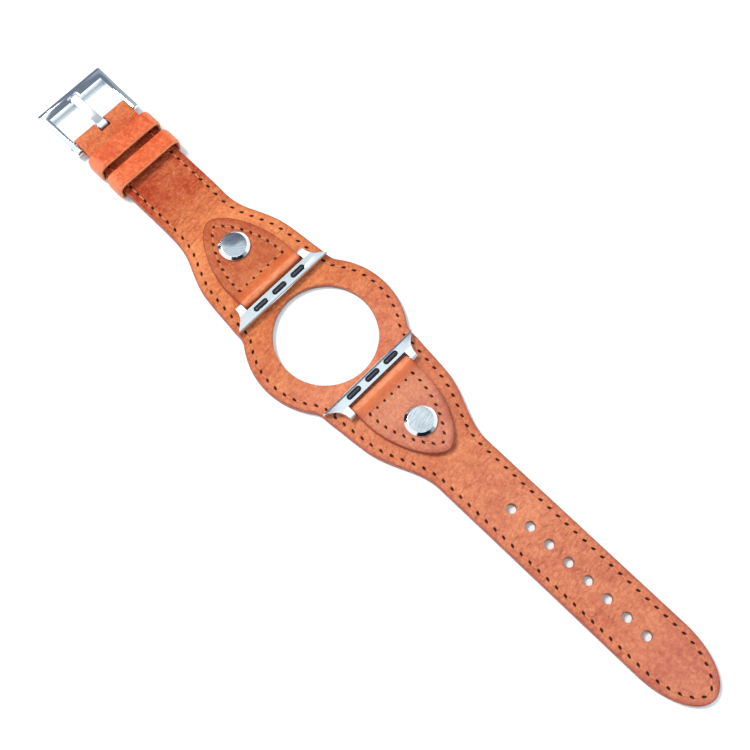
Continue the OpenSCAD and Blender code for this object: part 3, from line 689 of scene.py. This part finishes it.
def strip_leather():
    tones = [(-97, 206, 116, 80), (-92, 204, 98, 54), (-86, 196, 82, 42)]
    return Leather("strip_leather", tones, [(-97, 0.3), (-86, 0.3)], 1.2).done(0.42)


def keeper_leather():
    """The keepers' leather, worn paler along the rim of the loop, with painted highlights down its rounded sides."""
    n = Leather("keeper_leather", [(-90, 212, 88, 48), (-70, 226, 102, 58)], [(-90, 0.2), (-70, 0.3)], 1.2)
    rim = n.ramp(n.math("DIVIDE", n.uv()[1], 3.0), (0.86, 0.0), (0.95, 0.85), (1.0, 0.4))
    # Painted highlight down the loop's rounded sides
    side = n.ramp(n.math("DIVIDE", n.math("ABSOLUTE", n.y), 12.0), (0.78, 0.0), (0.92, 0.55))
    n.tint(side, dyed(236, 158, 128))
    n.tint(rim, dyed(240, 170, 140))
    return n.done(0.4)


def edge_paint():
    """Burnished, painted edge of the laminate, with faint lines of its layers."""
    n = Surface("edge_paint")
    layers = n.noise(n.object_space((0.25, 0.25, 3.0)), 1.2, 3.0, 0.6)
    dye = n.blend(n.ramp(layers, (0.35, 0.0), (0.65, 1.0)), dyed(140, 66, 56), dyed(178, 94, 78))
    return n.finish(dye, 0.36, layers, 0.2, Normal=n.bump(layers, 0.3, 0.08))


def lining_leather():
    n = Surface("lining_leather")
    space = n.object_space()
    nap = n.noise(space, 1.6, 6.0, 0.75)
    clouds = n.noise(space, 0.08, 3.0, 0.5)
    pores = n.cells(space, 2.2)
    dye = n.blend(n.ramp(clouds, (0.3, 0.0), (0.7, 1.0)), dyed(196, 152, 110), dyed(214, 172, 130))
    dye = n.blend(n.times(n.ramp(nap, (0.4, 0.0), (0.65, 1.0)), 0.3), dye, dyed(160, 112, 74))
    u, across = n.uv()
    # Painted shade in the needle holes of the seam
    holes = needle_holes(n, u, n.math("SUBTRACT", across, SEAM_INSET), 0.55, 0.26, -0.22)
    dye = n.blend(n.ramp(holes, (0.1, 0.0), (0.5, 1.0)), dye, colour(70, 36, 18))
    return n.finish(dye, 0.62, nap, 0.2, Normal=n.bump(n.plus(nap, n.times(pores, 0.5)), 0.4, 0.1))


def thread_material():
    """Waxed thread: strands twisted round it, with painted highlights on their crowns and painted shade between them.
    """
    n = Surface("waxed_thread")
    along, around = n.uv()
    twist = n.plus(n.times(along, 2.6), n.times(around, 2.0))
    strand = n.math("ABSOLUTE", n.math("SINE", n.times(twist, math.pi)))
    fibre = n.noise(n.object_space(), 5.0, 2.0, 0.6)
    # Painted highlights on the strands' crowns, painted shade between them
    dye = n.blend(strand, dyed(190, 104, 68), dyed(232, 150, 108))
    dye = n.blend(n.times(fibre, 0.4), dye, dyed(222, 138, 96))
    return n.finish(dye, 0.42, fibre, 0.2, Normal=n.bump(strand, 0.6, 0.08))


# Finishes of steel that is brushed along one direction: how its noise is stretched
ALONG_X, ALONG_Y = (0.25, 9.0, 1.0), (9.0, 0.25, 1.0)


def steel(name, tone, roughness, brushed=0.0, stretch=ALONG_X, contrast=0.5, depth=0.45, turn=0.0):
    """Steel with fine lines along one direction, more or less deep and dark."""
    n = Surface(name)
    lines = n.noise(n.object_space(stretch, (0, 0, math.radians(turn))), 1.0, 5.0, 0.7)
    broad = n.noise(n.object_space(), 0.5, 2.0, 0.5)
    darker = tuple(c * contrast for c in tone)
    dye = n.blend(n.times(n.ramp(lines, (0.35, 1.0), (0.62, 0.0)), max(0.12, brushed)), tone, darker)
    return n.finish(dye, roughness, n.math("SUBTRACT", broad, 0.5), 0.08, Metallic=1.0,
                    Normal=n.bump(lines, 0.05 + depth * brushed, 0.03))


def rubber(name, tone):
    n = Surface(name)
    dust = n.noise(n.object_space(), 1.1, 4.0, 0.7)
    dye = n.blend(n.ramp(dust, (0.45, 0.0), (0.75, 1.0)), tone, tuple(min(1, c * 2.2 + 0.006) for c in tone))
    return n.finish(dye, 0.4, dust, 0.25, specular=0.18, Normal=n.bump(dust, 0.2, 0.05))


def floor_material():
    n = Surface("paper_floor")
    tooth = n.noise(n.object_space(), 0.4, 3.0, 0.6)
    return n.finish(n.blend(tooth, colour(244, 251, 255), colour(248, 253, 255)), 0.8, tooth, 0.1, specular=0.1)


outer_leather = cuff_leather()
tabs_leather = tab_leather()
fold_leather = strip_leather()
loop_leather = keeper_leather()
painted_edge = edge_paint()
lining = lining_leather()
waxed_thread = thread_material()
satin = steel("satin_steel", (0.74, 0.79, 0.82), 0.2, 0.12, ALONG_Y, 0.8)
polished = steel("polished_steel", (0.84, 0.86, 0.88), 0.1, 0.04)
# Stud cap faces: the buckle side's is a darker copy of the tip side's steel, painted shade, and is brushed in another
# direction
cap_faces = {
    "buckle_side": steel("brushed_steel_across_shaded", (0.66, 0.72, 0.77), 0.13, 0.9, (0.3, 3.6, 1.0), 0.55, 0.06, 61),
    "tip_side": steel("brushed_steel_along", (0.74, 0.79, 0.82), 0.2, 0.9, (3.6, 0.3, 1.0), 0.55, 0.2, 10),
}
matt = steel("matt_steel", (0.80, 0.85, 0.88), 0.42, 0.12, ALONG_Y, 0.85)
buckle_steel = steel("buckle_steel", (0.84, 0.87, 0.91), 0.12, 0.1, ALONG_Y, 0.9)
tongue_steel = steel("tongue_steel", (0.88, 0.91, 0.94), 0.3, 0.08, ALONG_X, 0.9)
plain = steel("plain_steel", (0.55, 0.56, 0.58), 0.3, 0.2)
pad_rubber = rubber("pad_rubber", (0.002, 0.004, 0.007))
# Paler rubber for the pads' ribs: a painted highlight along their crests
rib_highlight_rubber = rubber("rib_highlight_rubber", (0.045, 0.06, 0.085))
catch_plastic = rubber("catch_plastic", (0.002, 0.003, 0.006))


# The strap's layers

def bend(piece, body, span):
    """Bakes the placement of a piece of the strap into its mesh. body and span are not used."""
    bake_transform(piece)


def strap_layers():
    for name, sign, body, span in ARMS:
        start, end = (TIP_X, 0.0) if sign > 0 else (0.0, SKIN_END_X)
        holes = [(x, HOLE_R, 3.5) for x in HOLES] if sign > 0 else []
        stud = (sign * STUD_X, HEAD_R + 0.05, 6.0)
        skin = laminate(f"outer_leather_{name}", strap_plan(start, end, OUTER_INSETS, 0.27), OUTER_EDGE, outer_face, 1,
                        holes, (outer_leather, painted_edge))
        under = laminate(f"lining_{name}", strap_plan(start, end, LINING_INSETS, 0.4), LINING_EDGE, lining_face, -1,
                         holes + [stud], (lining, painted_edge))
        bend(skin, body, span)
        bend(under, body, span)
        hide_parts("cuff_leather", f"{body}_leather", "cuff_core", f"{body}_core")
        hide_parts("cuff_lining", f"{body}_lining")


# Radius of the thread, and the number of faces round it
THREAD_R, THREAD_SIDES = 0.24, 8


def tube(mesh, path, radii):
    """A round thread along a path, with a radius for each of its points and closed ends."""
    rings = []
    run = 0.0
    for k, (point, radius) in enumerate(zip(path, radii)):
        ahead, behind = path[min(k + 1, len(path) - 1)], path[max(k - 1, 0)]
        way = (Vector(ahead) - Vector(behind)).normalized()
        side = way.cross(Vector((0, 0, 1))).normalized()
        up = side.cross(way)
        if k:
            run += (Vector(point) - Vector(path[k - 1])).length
        ring = []
        for s in range(THREAD_SIDES):
            turn = 2 * math.pi * s / THREAD_SIDES
            place = Vector(point) + radius * (math.cos(turn) * side + math.sin(turn) * up)
            mesh.points.append(tuple(place))
            mesh.uvs.append((run, s / THREAD_SIDES))
            ring.append(len(mesh.points) - 1)
        rings.append(ring)
    mesh.loft(rings)


def stitch(mesh, a, b, top, dip, sway):
    """One stitch between two needle holes at a and b, whose crown is at height top and whose ends dive by dip."""
    path, radii = [], []
    across = Vector((a[1] - b[1], b[0] - a[0])).normalized()
    for k in range(11):
        t = mix(0.15, 0.85, k / 10)
        bow = 1 - abs(k / 5 - 1) ** 5
        x, y = (mix(a[c], b[c], t) + across[c] * sway * (0.5 - t) for c in (0, 1))
        path.append((x, y, mix(a[2], b[2], t) + top - THREAD_R - dip * (1 - bow)))
        radii.append(THREAD_R * (0.72 + 0.28 * bow))
    tube(mesh, path, radii)


def perimeter_seam():
    """The long seam on both faces of the strap, in one piece of thread for each arm."""
    for name, sign, body, span in ARMS:
        mesh = Mesh()
        for k in range(SEAM_COUNT):
            ends = []
            for half in (-0.5, 0.5):
                s = (k + half) * SEAM_STEP
                x, y, nx, ny, _ = edge_at(abs(s), 5)
                y -= SEAM_INSET * ny
                ends.append((x - SEAM_INSET * nx, y if s >= 0 else -y))
            if (ends[0][0] + ends[1][0]) * sign <= 0:
                continue
            for side in ((1, -1) if k else (1,)):
                a, b = ((x, y * side, lift(x)) for x, y in ends)
                sway = 0.2 * side + chance.uniform(-0.06, 0.06)
                stitch(mesh, a, b, STRAP_T + 0.09 + chance.uniform(-0.02, 0.02), 0.42, sway)
                stitch(mesh, a, b, 0.42, -0.3, -sway)
        seam = mesh.object(f"perimeter_thread_{name}", waxed_thread)
        bend(seam, body, span)
        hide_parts("cuff_thread", f"{body}_thread")


# The fold that carries the spring bar

def profile(points, step):
    """Points at even steps along a broken line."""
    table = np.array(points, float)
    run = np.concatenate([[0], np.cumsum(np.linalg.norm(np.diff(table, axis=0), axis=1))])
    count = max(1, round(run[-1] / step))
    return [tuple(float(np.interp(run[-1] * k / count, run, table[:, c])) for c in range(table.shape[1]))
            for k in range(count + 1)]


# The fold's leather from its edge inwards: inset, and how far the face has fallen there
FOLD_FALLS = [(0.0, 0.42), (0.03, 0.26), (0.1, 0.14), (0.22, 0.06), (0.4, 0.02), (0.7, 0.0), (1.4, -0.03),
              (2.6, -0.02), (4.0, 0.0), (5.6, 0.0)]
FOLD_OUTER_R, FOLD_INNER_R = 1.7, 0.96
TONGUE_SLOT_HALF, TONGUE_SLOT_END = 1.85, BAR_X + 2.4


def bar_fold():
    """Outer leather from under the fixed keeper, round the spring bar and back, with the slot for the tongue."""
    top = LIFT + STRAP_T
    turns = [(math.cos(t), math.sin(t)) for t in (math.radians(a) for a in range(90, 271, 9))]
    outer = [(SKIN_END_X, top), (-90.0, top), (-91.6, top + 0.06), (-93.4, BAR_Z + 1.52)]
    outer += [(BAR_X + FOLD_OUTER_R * c, BAR_Z + FOLD_OUTER_R * s) for c, s in turns]
    outer += [(-93.4, 0.8), (-91.6, LIFT - 0.05), (-90.0, LIFT), (-86, LIFT)]
    inner = [(SKIN_END_X, LIFT + LINING_T), (-90.0, LIFT + 1.2), (-91.5, LIFT + 1.2), (-93.4, BAR_Z + 0.8)]
    inner += [(BAR_X + FOLD_INNER_R * c, BAR_Z + FOLD_INNER_R * s) for c, s in turns]
    inner += [(-93.4, BAR_Z - 0.8), (-91.5, LIFT + 0.78), (-90.0, LIFT + 0.78), (-86, LIFT + 0.78)]
    rows = profile([(k / (len(outer) - 1), *a, *b) for k, (a, b) in enumerate(zip(outer, inner))], 0.3)
    mesh = Mesh()
    faces, backs = [], []
    for share, ox, oz, ix, iz in rows:
        half = half_width(ox)
        thick = math.hypot(ox - ix, oz - iz)
        face_row, back_row = [], []
        for inset, fall in FOLD_FALLS + [(half - TONGUE_SLOT_HALF, 0.0), (half - 0.9, 0.0), (half, 0.0)]:
            t = min(0.45, fall / thick) - uneven(ox * 1.3, inset * 2) * 0.6 * smooth(inset)
            face_row.append(mesh.point((mix(ox, ix, t), half - inset, mix(oz, iz, t)), (share, inset + 20)))
            back_row.append(mesh.point((ix, half - inset, iz), (share, 40.0)))
        faces.append(face_row)
        backs.append(back_row)
    beside_slot = len(FOLD_FALLS) + 1

    def width(k):
        """How many points of row k carry leather, up to the slot or up to the middle line."""
        cut = rows[k][1] < TONGUE_SLOT_END and rows[k + 1][1] < TONGUE_SLOT_END
        return beside_slot if cut else len(faces[k])

    for k in range(len(rows) - 1):
        w = width(k)
        mesh.strip(faces[k][:w], faces[k + 1][:w])
        mesh.strip(backs[k][:w], backs[k + 1][:w])
        for column in (0, w - 1) if w == beside_slot else (0,):
            mesh.strip([faces[k][column], backs[k][column]], [faces[k + 1][column], backs[k + 1][column]], 1)
        if k and width(k - 1) != w:
            mesh.strip(faces[k][beside_slot - 1:], backs[k][beside_slot - 1:], 1)
    mesh.strip(faces[0], backs[0], 1)
    mesh.strip(faces[-1], backs[-1], 1)
    mesh.mirror()
    fold = mesh.object("spring_bar_fold", fold_leather, painted_edge, sharp=50)
    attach(fold, "buckle_arm")
    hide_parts("buckle_arm_leather")


# Keepers

# Inside of a keeper, half its thickness, and its outer corners on the face and on the wrist side
KEEPER_HALF, KEEPER_TOP, KEEPER_HALF_T = 11.0, 5.9, 0.5
KEEPER_FACE_R, KEEPER_FOOT_R = 2.1, 1.0
KEEPER_STEP = 0.6
# Half of the band's section: place across the band and height off its middle surface
KEEPER_SECTION = [(0.0, 0.5), (1.0, 0.51), (1.9, 0.49), (2.4, 0.44), (2.7, 0.34), (2.9, 0.18), (2.98, 0.02),
                  (3.0, -0.18), (2.96, -0.38), (2.86, -0.5), (2.0, -0.5), (1.0, -0.5), (0.0, -0.5)]


def keeper(node, body, centre_x, low):
    """A loop of leather with rounded edges. low is the height of its inside on the wrist side."""
    half_y, top, foot = KEEPER_HALF + KEEPER_HALF_T, KEEPER_TOP + KEEPER_HALF_T, low - KEEPER_HALF_T
    corners = ((1, top - KEEPER_FACE_R, KEEPER_FACE_R), (-1, top - KEEPER_FACE_R, KEEPER_FACE_R),
               (-1, foot + KEEPER_FOOT_R, KEEPER_FOOT_R), (1, foot + KEEPER_FOOT_R, KEEPER_FOOT_R))
    path = []
    for k, (hand, z, r) in enumerate(corners):
        for t in (math.radians(90 * k + a) for a in range(0, 91, 9)):
            path.append((hand * (half_y - r) + r * math.cos(t), z + r * math.sin(t), math.cos(t), math.sin(t)))
    path = profile(path + path[:1], KEEPER_STEP)[:-1]
    section = [(-x, h) for x, h in KEEPER_SECTION[::-1]][:-1] + KEEPER_SECTION[:-1]
    mesh = Mesh()
    rows = []
    for k, (y, z, ny, nz) in enumerate(path):
        size = math.hypot(ny, nz)
        row = []
        for x, h in section:
            out = h + (0.02 * noise.noise(Vector((x, y, z)) * 0.8) if h > 0 else 0)
            row.append(mesh.point((centre_x + x, y + ny / size * out, z + nz / size * out), (k * KEEPER_STEP, x)))
        rows.append(row + row[:1])
    mesh.sheet(rows + rows[:1])
    band = mesh.object(f"{node}_loop", loop_leather)
    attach(band, body)
    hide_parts(node)


# Tabs

def tab_curve(length, half, power):
    """Outline of a tab's round end, from its tip back to its shoulder."""
    return [(TAB_SHOULDER + length * math.sin(a), half * max(0.0, 1 - math.sin(a) ** 1.7) ** power)
            for a in np.radians(np.arange(90, 0, -1.0))]


def tab_lines():
    """Rows of a tab from its tip back to the pin (edge place, step inwards, place along the seam in stitches), the
    seam (place and distance), and the number and length of its stitches up to the straight row."""
    straight = np.arange(TAB_SHOULDER, PIN_X - 0.001, -0.25)
    edge = tab_curve(TAB_TIP - TAB_SHOULDER, TAB_HALF, 0.6) + [(x, TAB_HALF) for x in straight] + [(PIN_X, TAB_HALF)]
    seam = tab_curve(TAB_TIP - TAB_SHOULDER - TAB_SEAM_INSET, TAB_HALF - TAB_SEAM_INSET, 0.75)
    seam += [(x, TAB_HALF - TAB_SEAM_INSET) for x in straight] + [(PIN_X, TAB_HALF - TAB_SEAM_INSET)]
    edge[0], seam[0] = (TAB_TIP, 0.0), (TAB_TIP - TAB_SEAM_INSET, 0.0)
    run = np.concatenate([[0], np.cumsum(np.linalg.norm(np.diff(np.array(seam), axis=0), axis=1))])
    corner = float(np.interp(-TAB_ROW_X, [-x for x, _ in seam], run))
    count = round(corner / TAB_STITCH)
    step = corner / count
    rows = [(*e, (s[0] - e[0]) / TAB_SEAM_INSET, (s[1] - e[1]) / TAB_SEAM_INSET, r / step)
            for e, s, r in zip(edge, seam, run)]
    return profile(rows, 0.28), np.column_stack([seam, run]), count, step


def tab_top(x):
    """Height of the tab's face on the middle line, which rises over the pin."""
    return mix(TAB_TOP, PIN_Z + 1.4, smooth((27.2 - x) / 3.6))


TAB_INSETS = [0.0, 0.04, 0.12, 0.26, 0.48, 0.8, 1.2, 1.6, 1.95, 2.2, 2.4, 2.6, 2.8, 3.0, 3.3, 3.7]
TAB_FALLS = [0.42, 0.26, 0.13, 0.05, 0.0]
# The tab's edge from its face down: inset and height, with the glue line of the two layers
TAB_EDGE = [(0.0, 3.95), (0.0, 3.62), (0.1, 3.45), (0.0, 3.28), (0.0, 2.9)]
# The eye for the pin, the gap behind it up to where the layers meet (off the pin, in X and Z), and the stud's hole
EYE_R, EYE_GAP, STUD_HOLE_R = 0.7, [(0.0, 0.66), (2.6, -0.33), (0.0, -0.66)], 2.3


def tab_face(x, y, inset, u):
    """Height of the finished face: crowned edges, dented seams and needle holes."""
    z = tab_top(x) + 0.06 * bell(inset - 1.3, 0.6) + 0.03 * bell(inset - 3.6, 0.7)
    sewn = smooth((x - TAB_ROW_X + 0.5) / 0.6)
    z -= sewn * needle(inset, u, TAB_SEAM_INSET, TAB_STITCH)
    across = bell(x - TAB_ROW_X, 0.3) * smooth((8.9 - abs(y)) / 0.5)
    place = abs(y) / ROW_STITCH
    z -= across * (0.12 + 0.24 * bell((place - round(place)) * ROW_STITCH, 0.35))
    return z + 0.8 * uneven(x + 90, y) * smooth((inset - 0.3) / 1.5)


def tab(side, sign):
    """A tab folded round its pin: one skin over both layers, with the glue line on its edge, the eye and the hole."""
    rows, _, count, _ = tab_lines()
    plan = Plan([Line(x, y, dx, dy, u, x + dx * TAB_INSETS[-1], 0.0) for x, y, dx, dy, u in rows], TAB_INSETS, 22)
    # The place along the seam stops growing past the corner, so that no needle hole shows beyond it
    past_seam = count + 0.5
    falls = TAB_FALLS + [0.0] * (len(TAB_INSETS) + plan.steps - len(TAB_FALLS))
    mesh = Mesh()
    tops, lows, walls = [], [], []
    for line in plan.lines:
        top, low = [], []
        for fall, (x, y, d, u) in zip(falls, plan.places(line)):
            top.append(mesh.point((x, y, tab_face(x, y, d, u) - fall), (min(u, past_seam), d)))
            low.append(mesh.point((x, y, TAB_LOW + fall * 0.7), (u, FAR)))
        tops.append(top)
        lows.append(low)
        wall = [mesh.point(plan.at(line, inset) + (z,), (line.u, 0.0)) for inset, z in TAB_EDGE]
        walls.append([top[0]] + wall + [low[0]])
    for k in range(len(plan.lines) - 1):
        mesh.strip(tops[k], tops[k + 1])
        mesh.strip(lows[k], lows[k + 1])
        mesh.strip(walls[k], walls[k + 1], 1)
    # The fold round the pin, from the top face down to the underside
    last = plan.places(plan.lines[-1])
    rows = [tops[-1]]
    for t in (math.radians(a) for a in range(10, 180, 10)):
        row = []
        for fall, (x, y, d, u) in zip(falls, last):
            r = mix(tab_face(x, y, d, u) - PIN_Z - fall, PIN_Z - TAB_LOW - fall * 0.7, t / math.pi)
            row.append(mesh.point((PIN_X - r * math.sin(t), y, PIN_Z + r * math.cos(t)), (past_seam, d)))
        rows.append(row)
    rows.append(lows[-1])
    mesh.sheet(rows)
    mesh.face([row[0] for row in rows] + walls[-1][1:-1][::-1], 1)
    mesh.mirror()
    piece = mesh.object(f"{side}_tab", tabs_leather, painted_edge, turned=sign < 0)

    def along_y(a, b, h):
        return sign * (PIN_X + a), h, PIN_Z + b

    bored(piece, prism(circle(EYE_R, 24), -20, 20, along_y), prism(EYE_GAP, -20, 20, along_y),
          prism(circle(STUD_HOLE_R, 32), 0, 12, lambda a, b, h: (sign * STUD_X + a, b, h)))
    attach(piece, f"{side}_tab")
    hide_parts(f"{side}_tab_leather")


def tab_seams(side, sign):
    """The stitches of a tab: its curved seam on both sides of the middle line, and its straight row."""
    _, seam, count, step = tab_lines()
    mesh = Mesh()

    def place(s, flip):
        x, y = (float(np.interp(s, seam[:, 2], seam[:, c])) for c in (0, 1))
        return sign * x, y * flip * sign, 0.0

    for k in range(count):
        for flip in (1, -1):
            a, b = place(k * step, flip), place((k + 1) * step, flip)
            stitch(mesh, a, b, TAB_TOP + 0.09 + chance.uniform(-0.02, 0.02), 0.42,
                   0.2 * flip + chance.uniform(-0.06, 0.06))
    for k in range(-3, 3):
        a, b = ((sign * TAB_ROW_X, ROW_STITCH * j, 0.0) for j in (k, k + 1))
        stitch(mesh, a, b, tab_top(TAB_ROW_X) + 0.07, 0.42, chance.uniform(-0.1, 0.1))
    thread = mesh.object(f"{side}_tab_stitches", waxed_thread)
    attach(thread, f"{side}_tab")
    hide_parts(f"{side}_tab_thread")


# Metal parts: the CAD shapes with their edges broken

# Angle between faces, in degrees, from which an edge is sharp
SHARP = 30


def machined(node, body, material, width, segments=3, second=None, where=None):
    """A copy of a CAD piece with broken edges. second is the finish of the faces that where(middle, normal) picks,
    with the face's middle in millimetres."""
    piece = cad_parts[node].copy()
    piece.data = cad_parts[node].data.copy()
    for key in list(piece.keys()):
        del piece[key]
    piece.name = f"{node}_finished"
    piece.parent = None
    bpy.context.scene.collection.objects.link(piece)
    smoothed(piece.data, SHARP, joined=True)
    piece.data.materials.clear()
    piece.data.materials.append(material)
    if second:
        piece.data.materials.append(second)
        for face in piece.data.polygons:
            face.material_index = int(where(face.center / MM, face.normal))
    bevel = piece.modifiers.new("broken_edges", "BEVEL")
    bevel.width = width * MM
    bevel.segments = segments
    bevel.limit_method = "ANGLE"
    bevel.angle_limit = math.radians(SHARP)
    bevel.harden_normals = True
    bevel.use_clamp_overlap = True
    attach(piece, body)
    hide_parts(node)


def paint(node, material):
    """Gives a carried-over CAD node its finish."""
    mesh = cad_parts[node]
    mesh.data.materials.clear()
    mesh.data.materials.append(material)


PAD_PITCH, PAD_LENGTH, PAD_CORNER_R = 7.3, 5.06, 0.75
RIB_HALF = 0.24
# How far in from a rib's side and how high over the pad its section runs
RIB_SECTION = ((0.0, -0.03), (0.0, 0.02), (0.05, 0.06), (0.12, 0.08))


def ribs(node, body, places):
    """A low rib along the face of each pad of a node, in a paler rubber that paints the highlight along the pad's
    crest.
    """
    low, high = (Vector(corner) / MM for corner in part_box(node))
    middle, straight = (low.x + high.x) / 2, PAD_LENGTH / 2 - PAD_CORNER_R
    turns = [(math.cos(t), math.sin(t)) for t in (math.radians(a) for a in range(9, 369, 18))]
    mesh = Mesh()
    for y in places:
        rings = []
        for inset, rise in RIB_SECTION:
            r = RIB_HALF - inset
            rings.append([mesh.point((middle + r * c, y + r * s + math.copysign(straight, s), high.z + rise))
                          for c, s in turns])
        mesh.loft(rings)
    rib = mesh.object(f"{node}_ribs", rib_highlight_rubber)
    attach(rib, body)


def coil(name, node, body, ends, radius, turns):
    """A wire spring in place of a sleeve of the CAD, wound from the first of its ends to the second."""
    wire, turn_steps = 0.1, 16
    start, end = (Vector(place) for place in ends)
    length = (end - start).length
    along, side = (end - start) / length, Vector((1, 0, 0))
    other = along.cross(side)
    mesh = Mesh()
    rings = []
    steps = turns * turn_steps
    for k in range(steps + 1):
        turned = 2 * math.pi * k / turn_steps
        out = math.cos(turned) * side + math.sin(turned) * other
        centre = start + (end - start) * k / steps + radius * out
        rings.append([mesh.point(centre + wire * (math.cos(a) * out + math.sin(a) * along))
                      for a in (math.pi * j / 4 for j in range(8))])
    mesh.loft(rings)
    spring = mesh.object(name, plain)
    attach(spring, body)
    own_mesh(spring)
    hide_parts(node)


def springs():
    """The spring of the spring bar, in a half for each tip, and those under the catches."""
    low, high = (Vector(corner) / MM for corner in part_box("spring_bar_spring"))
    middle = (low + high) / 2
    for hand, end_y in (("left", high.y - 0.1), ("right", low.y + 0.1)):
        coil(f"spring_bar_coil_{hand}", "spring_bar_spring", "buckle_frame", (middle, (middle.x, end_y, middle.z)),
             0.4, 14)
    for side, _ in SIDES:
        low, high = (Vector(corner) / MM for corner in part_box(f"{side}_catch_spring"))
        x, y = (low.x + high.x) / 2, (low.y + high.y) / 2
        coil(f"{side}_catch_coil", f"{side}_catch_spring", f"{side}_adapter",
             ((x, y, low.z + 0.1), (x, y, high.z - 0.1)), 0.52, 3)


def on_cap_face(middle, normal):
    """The flat top of a stud."""
    return normal.z > 0.98


def on_arm_slope(middle, normal):
    """The slopes of an adapter's arms, outside its bar."""
    return 0.02 < abs(normal.x) < 0.7 and normal.z > 0.6 and abs(middle.x) > 20.5


def hardware():
    machined("buckle_frame", "buckle_frame", buckle_steel, 0.08)
    machined("buckle_tongue", "buckle_tongue", tongue_steel, 0.3, 4)
    for node in ("spring_bar_tube", "spring_bar_tip_left", "spring_bar_tip_right"):
        paint(node, plain)
    for side, _ in SIDES:
        adapter = f"{side}_adapter"
        machined(f"{side}_stud_cap", "cuff", polished, 0.06, second=cap_faces[side],
                 where=on_cap_face)
        machined(f"{side}_stud_screw", "cuff", plain, 0.12)
        machined(f"{adapter}_body", adapter, satin, 0.1, second=matt, where=on_arm_slope)
        machined(f"{adapter}_pads", adapter, pad_rubber, 0.12)
        machined(f"{adapter}_catch", f"{side}_catch", catch_plastic, 0.12)
        ribs(f"{adapter}_pads", adapter, (-PAD_PITCH, PAD_PITCH))
        ribs(f"{adapter}_catch", f"{side}_catch", (0,))
        paint(f"{adapter}_pin", plain)


# Floor and light

FLOOR_HALF, FLOOR_Z = 900, -0.02
KEY_PLACE, KEY_AIM, KEY_SIZE = (-922, -340, 1730), (18, 0, 0), 500
KEY_POWER, KEY_TINT = 30.0, (1.0, 0.93, 0.86)
# What stands round the table, by azimuth in degrees
DARK, SLATE, GREY, WHITE = (0.01, 0.015, 0.025), (0.17, 0.21, 0.27), (0.4, 0.44, 0.5), (1.1, 1.1, 1.1)
SCREENS = [(-180, SLATE), (-168, DARK), (-148, DARK), (-138, WHITE), (-66, WHITE), (-60, DARK), (2, DARK),
           (14, GREY), (26, GREY), (36, WHITE), (112, WHITE), (124, GREY), (138, GREY), (146, SLATE)]
# Where the white ceiling begins above it, as the sine of the height angle
BRIM = [(-180, 0.66), (-150, 0.57), (88, 0.57), (112, 0.80), (132, 0.875), (142.5, 0.89), (148, 0.92), (170, 0.92)]


def key_light():
    data = bpy.data.lights.new("key", "AREA")
    data.shape = "RECTANGLE"
    data.size, data.size_y = KEY_SIZE * MM, KEY_SIZE * MM
    data.energy = KEY_POWER
    data.color = KEY_TINT
    light = bpy.data.objects.new("key", data)
    light.location = Vector(KEY_PLACE) * MM
    light.rotation_euler = (Vector(KEY_AIM) - Vector(KEY_PLACE)).to_track_quat("-Z", "Y").to_euler()
    bpy.context.scene.collection.objects.link(light)


def studio():
    """White screens and dark gaps round the table, under a soft white ceiling that hangs low on most sides and ends
    high over the dark one."""
    world = bpy.data.worlds.new("studio")
    bpy.context.scene.world = world
    world.use_nodes = True
    n = Nodes(world.node_tree)
    x, y, z = n.parts(n.coords.outputs["Generated"])
    turn = n.span(n.math("ARCTAN2", y, x), -math.pi, math.pi)
    screens, brim = (n.ramp(turn, *[((angle + 180) / 360, tone) for angle, tone in stops], smoothly=False)
                     for stops in (SCREENS, BRIM))
    ceiling = n.span(n.math("SUBTRACT", z, brim), -0.008, 0.01, interpolation_type="SMOOTHSTEP")
    background = n.tree.nodes["Background"]
    n.put(background.inputs["Color"], n.blend(ceiling, screens, (0.96, 1.06, 1.12)))
    background.inputs["Strength"].default_value = 1.0


def stage():
    mesh = Mesh()
    mesh.face([mesh.point((FLOOR_HALF * x, FLOOR_HALF * y, FLOOR_Z)) for x, y in ((-1, -1), (1, -1), (1, 1), (-1, 1))])
    mesh.object("floor", floor_material())
    key_light()
    studio()
    bpy.context.scene.view_settings.view_transform = "Standard"


photo_camera()
strap_layers()
perimeter_seam()
bar_fold()
keeper("fixed_keeper", "buckle_arm", -85.0, LIFT)
keeper("sliding_keeper", "sliding_keeper", -76.5, 1.0)
for side, sign in SIDES:
    tab(side, sign)
    tab_seams(side, sign)
hardware()
springs()
stage()
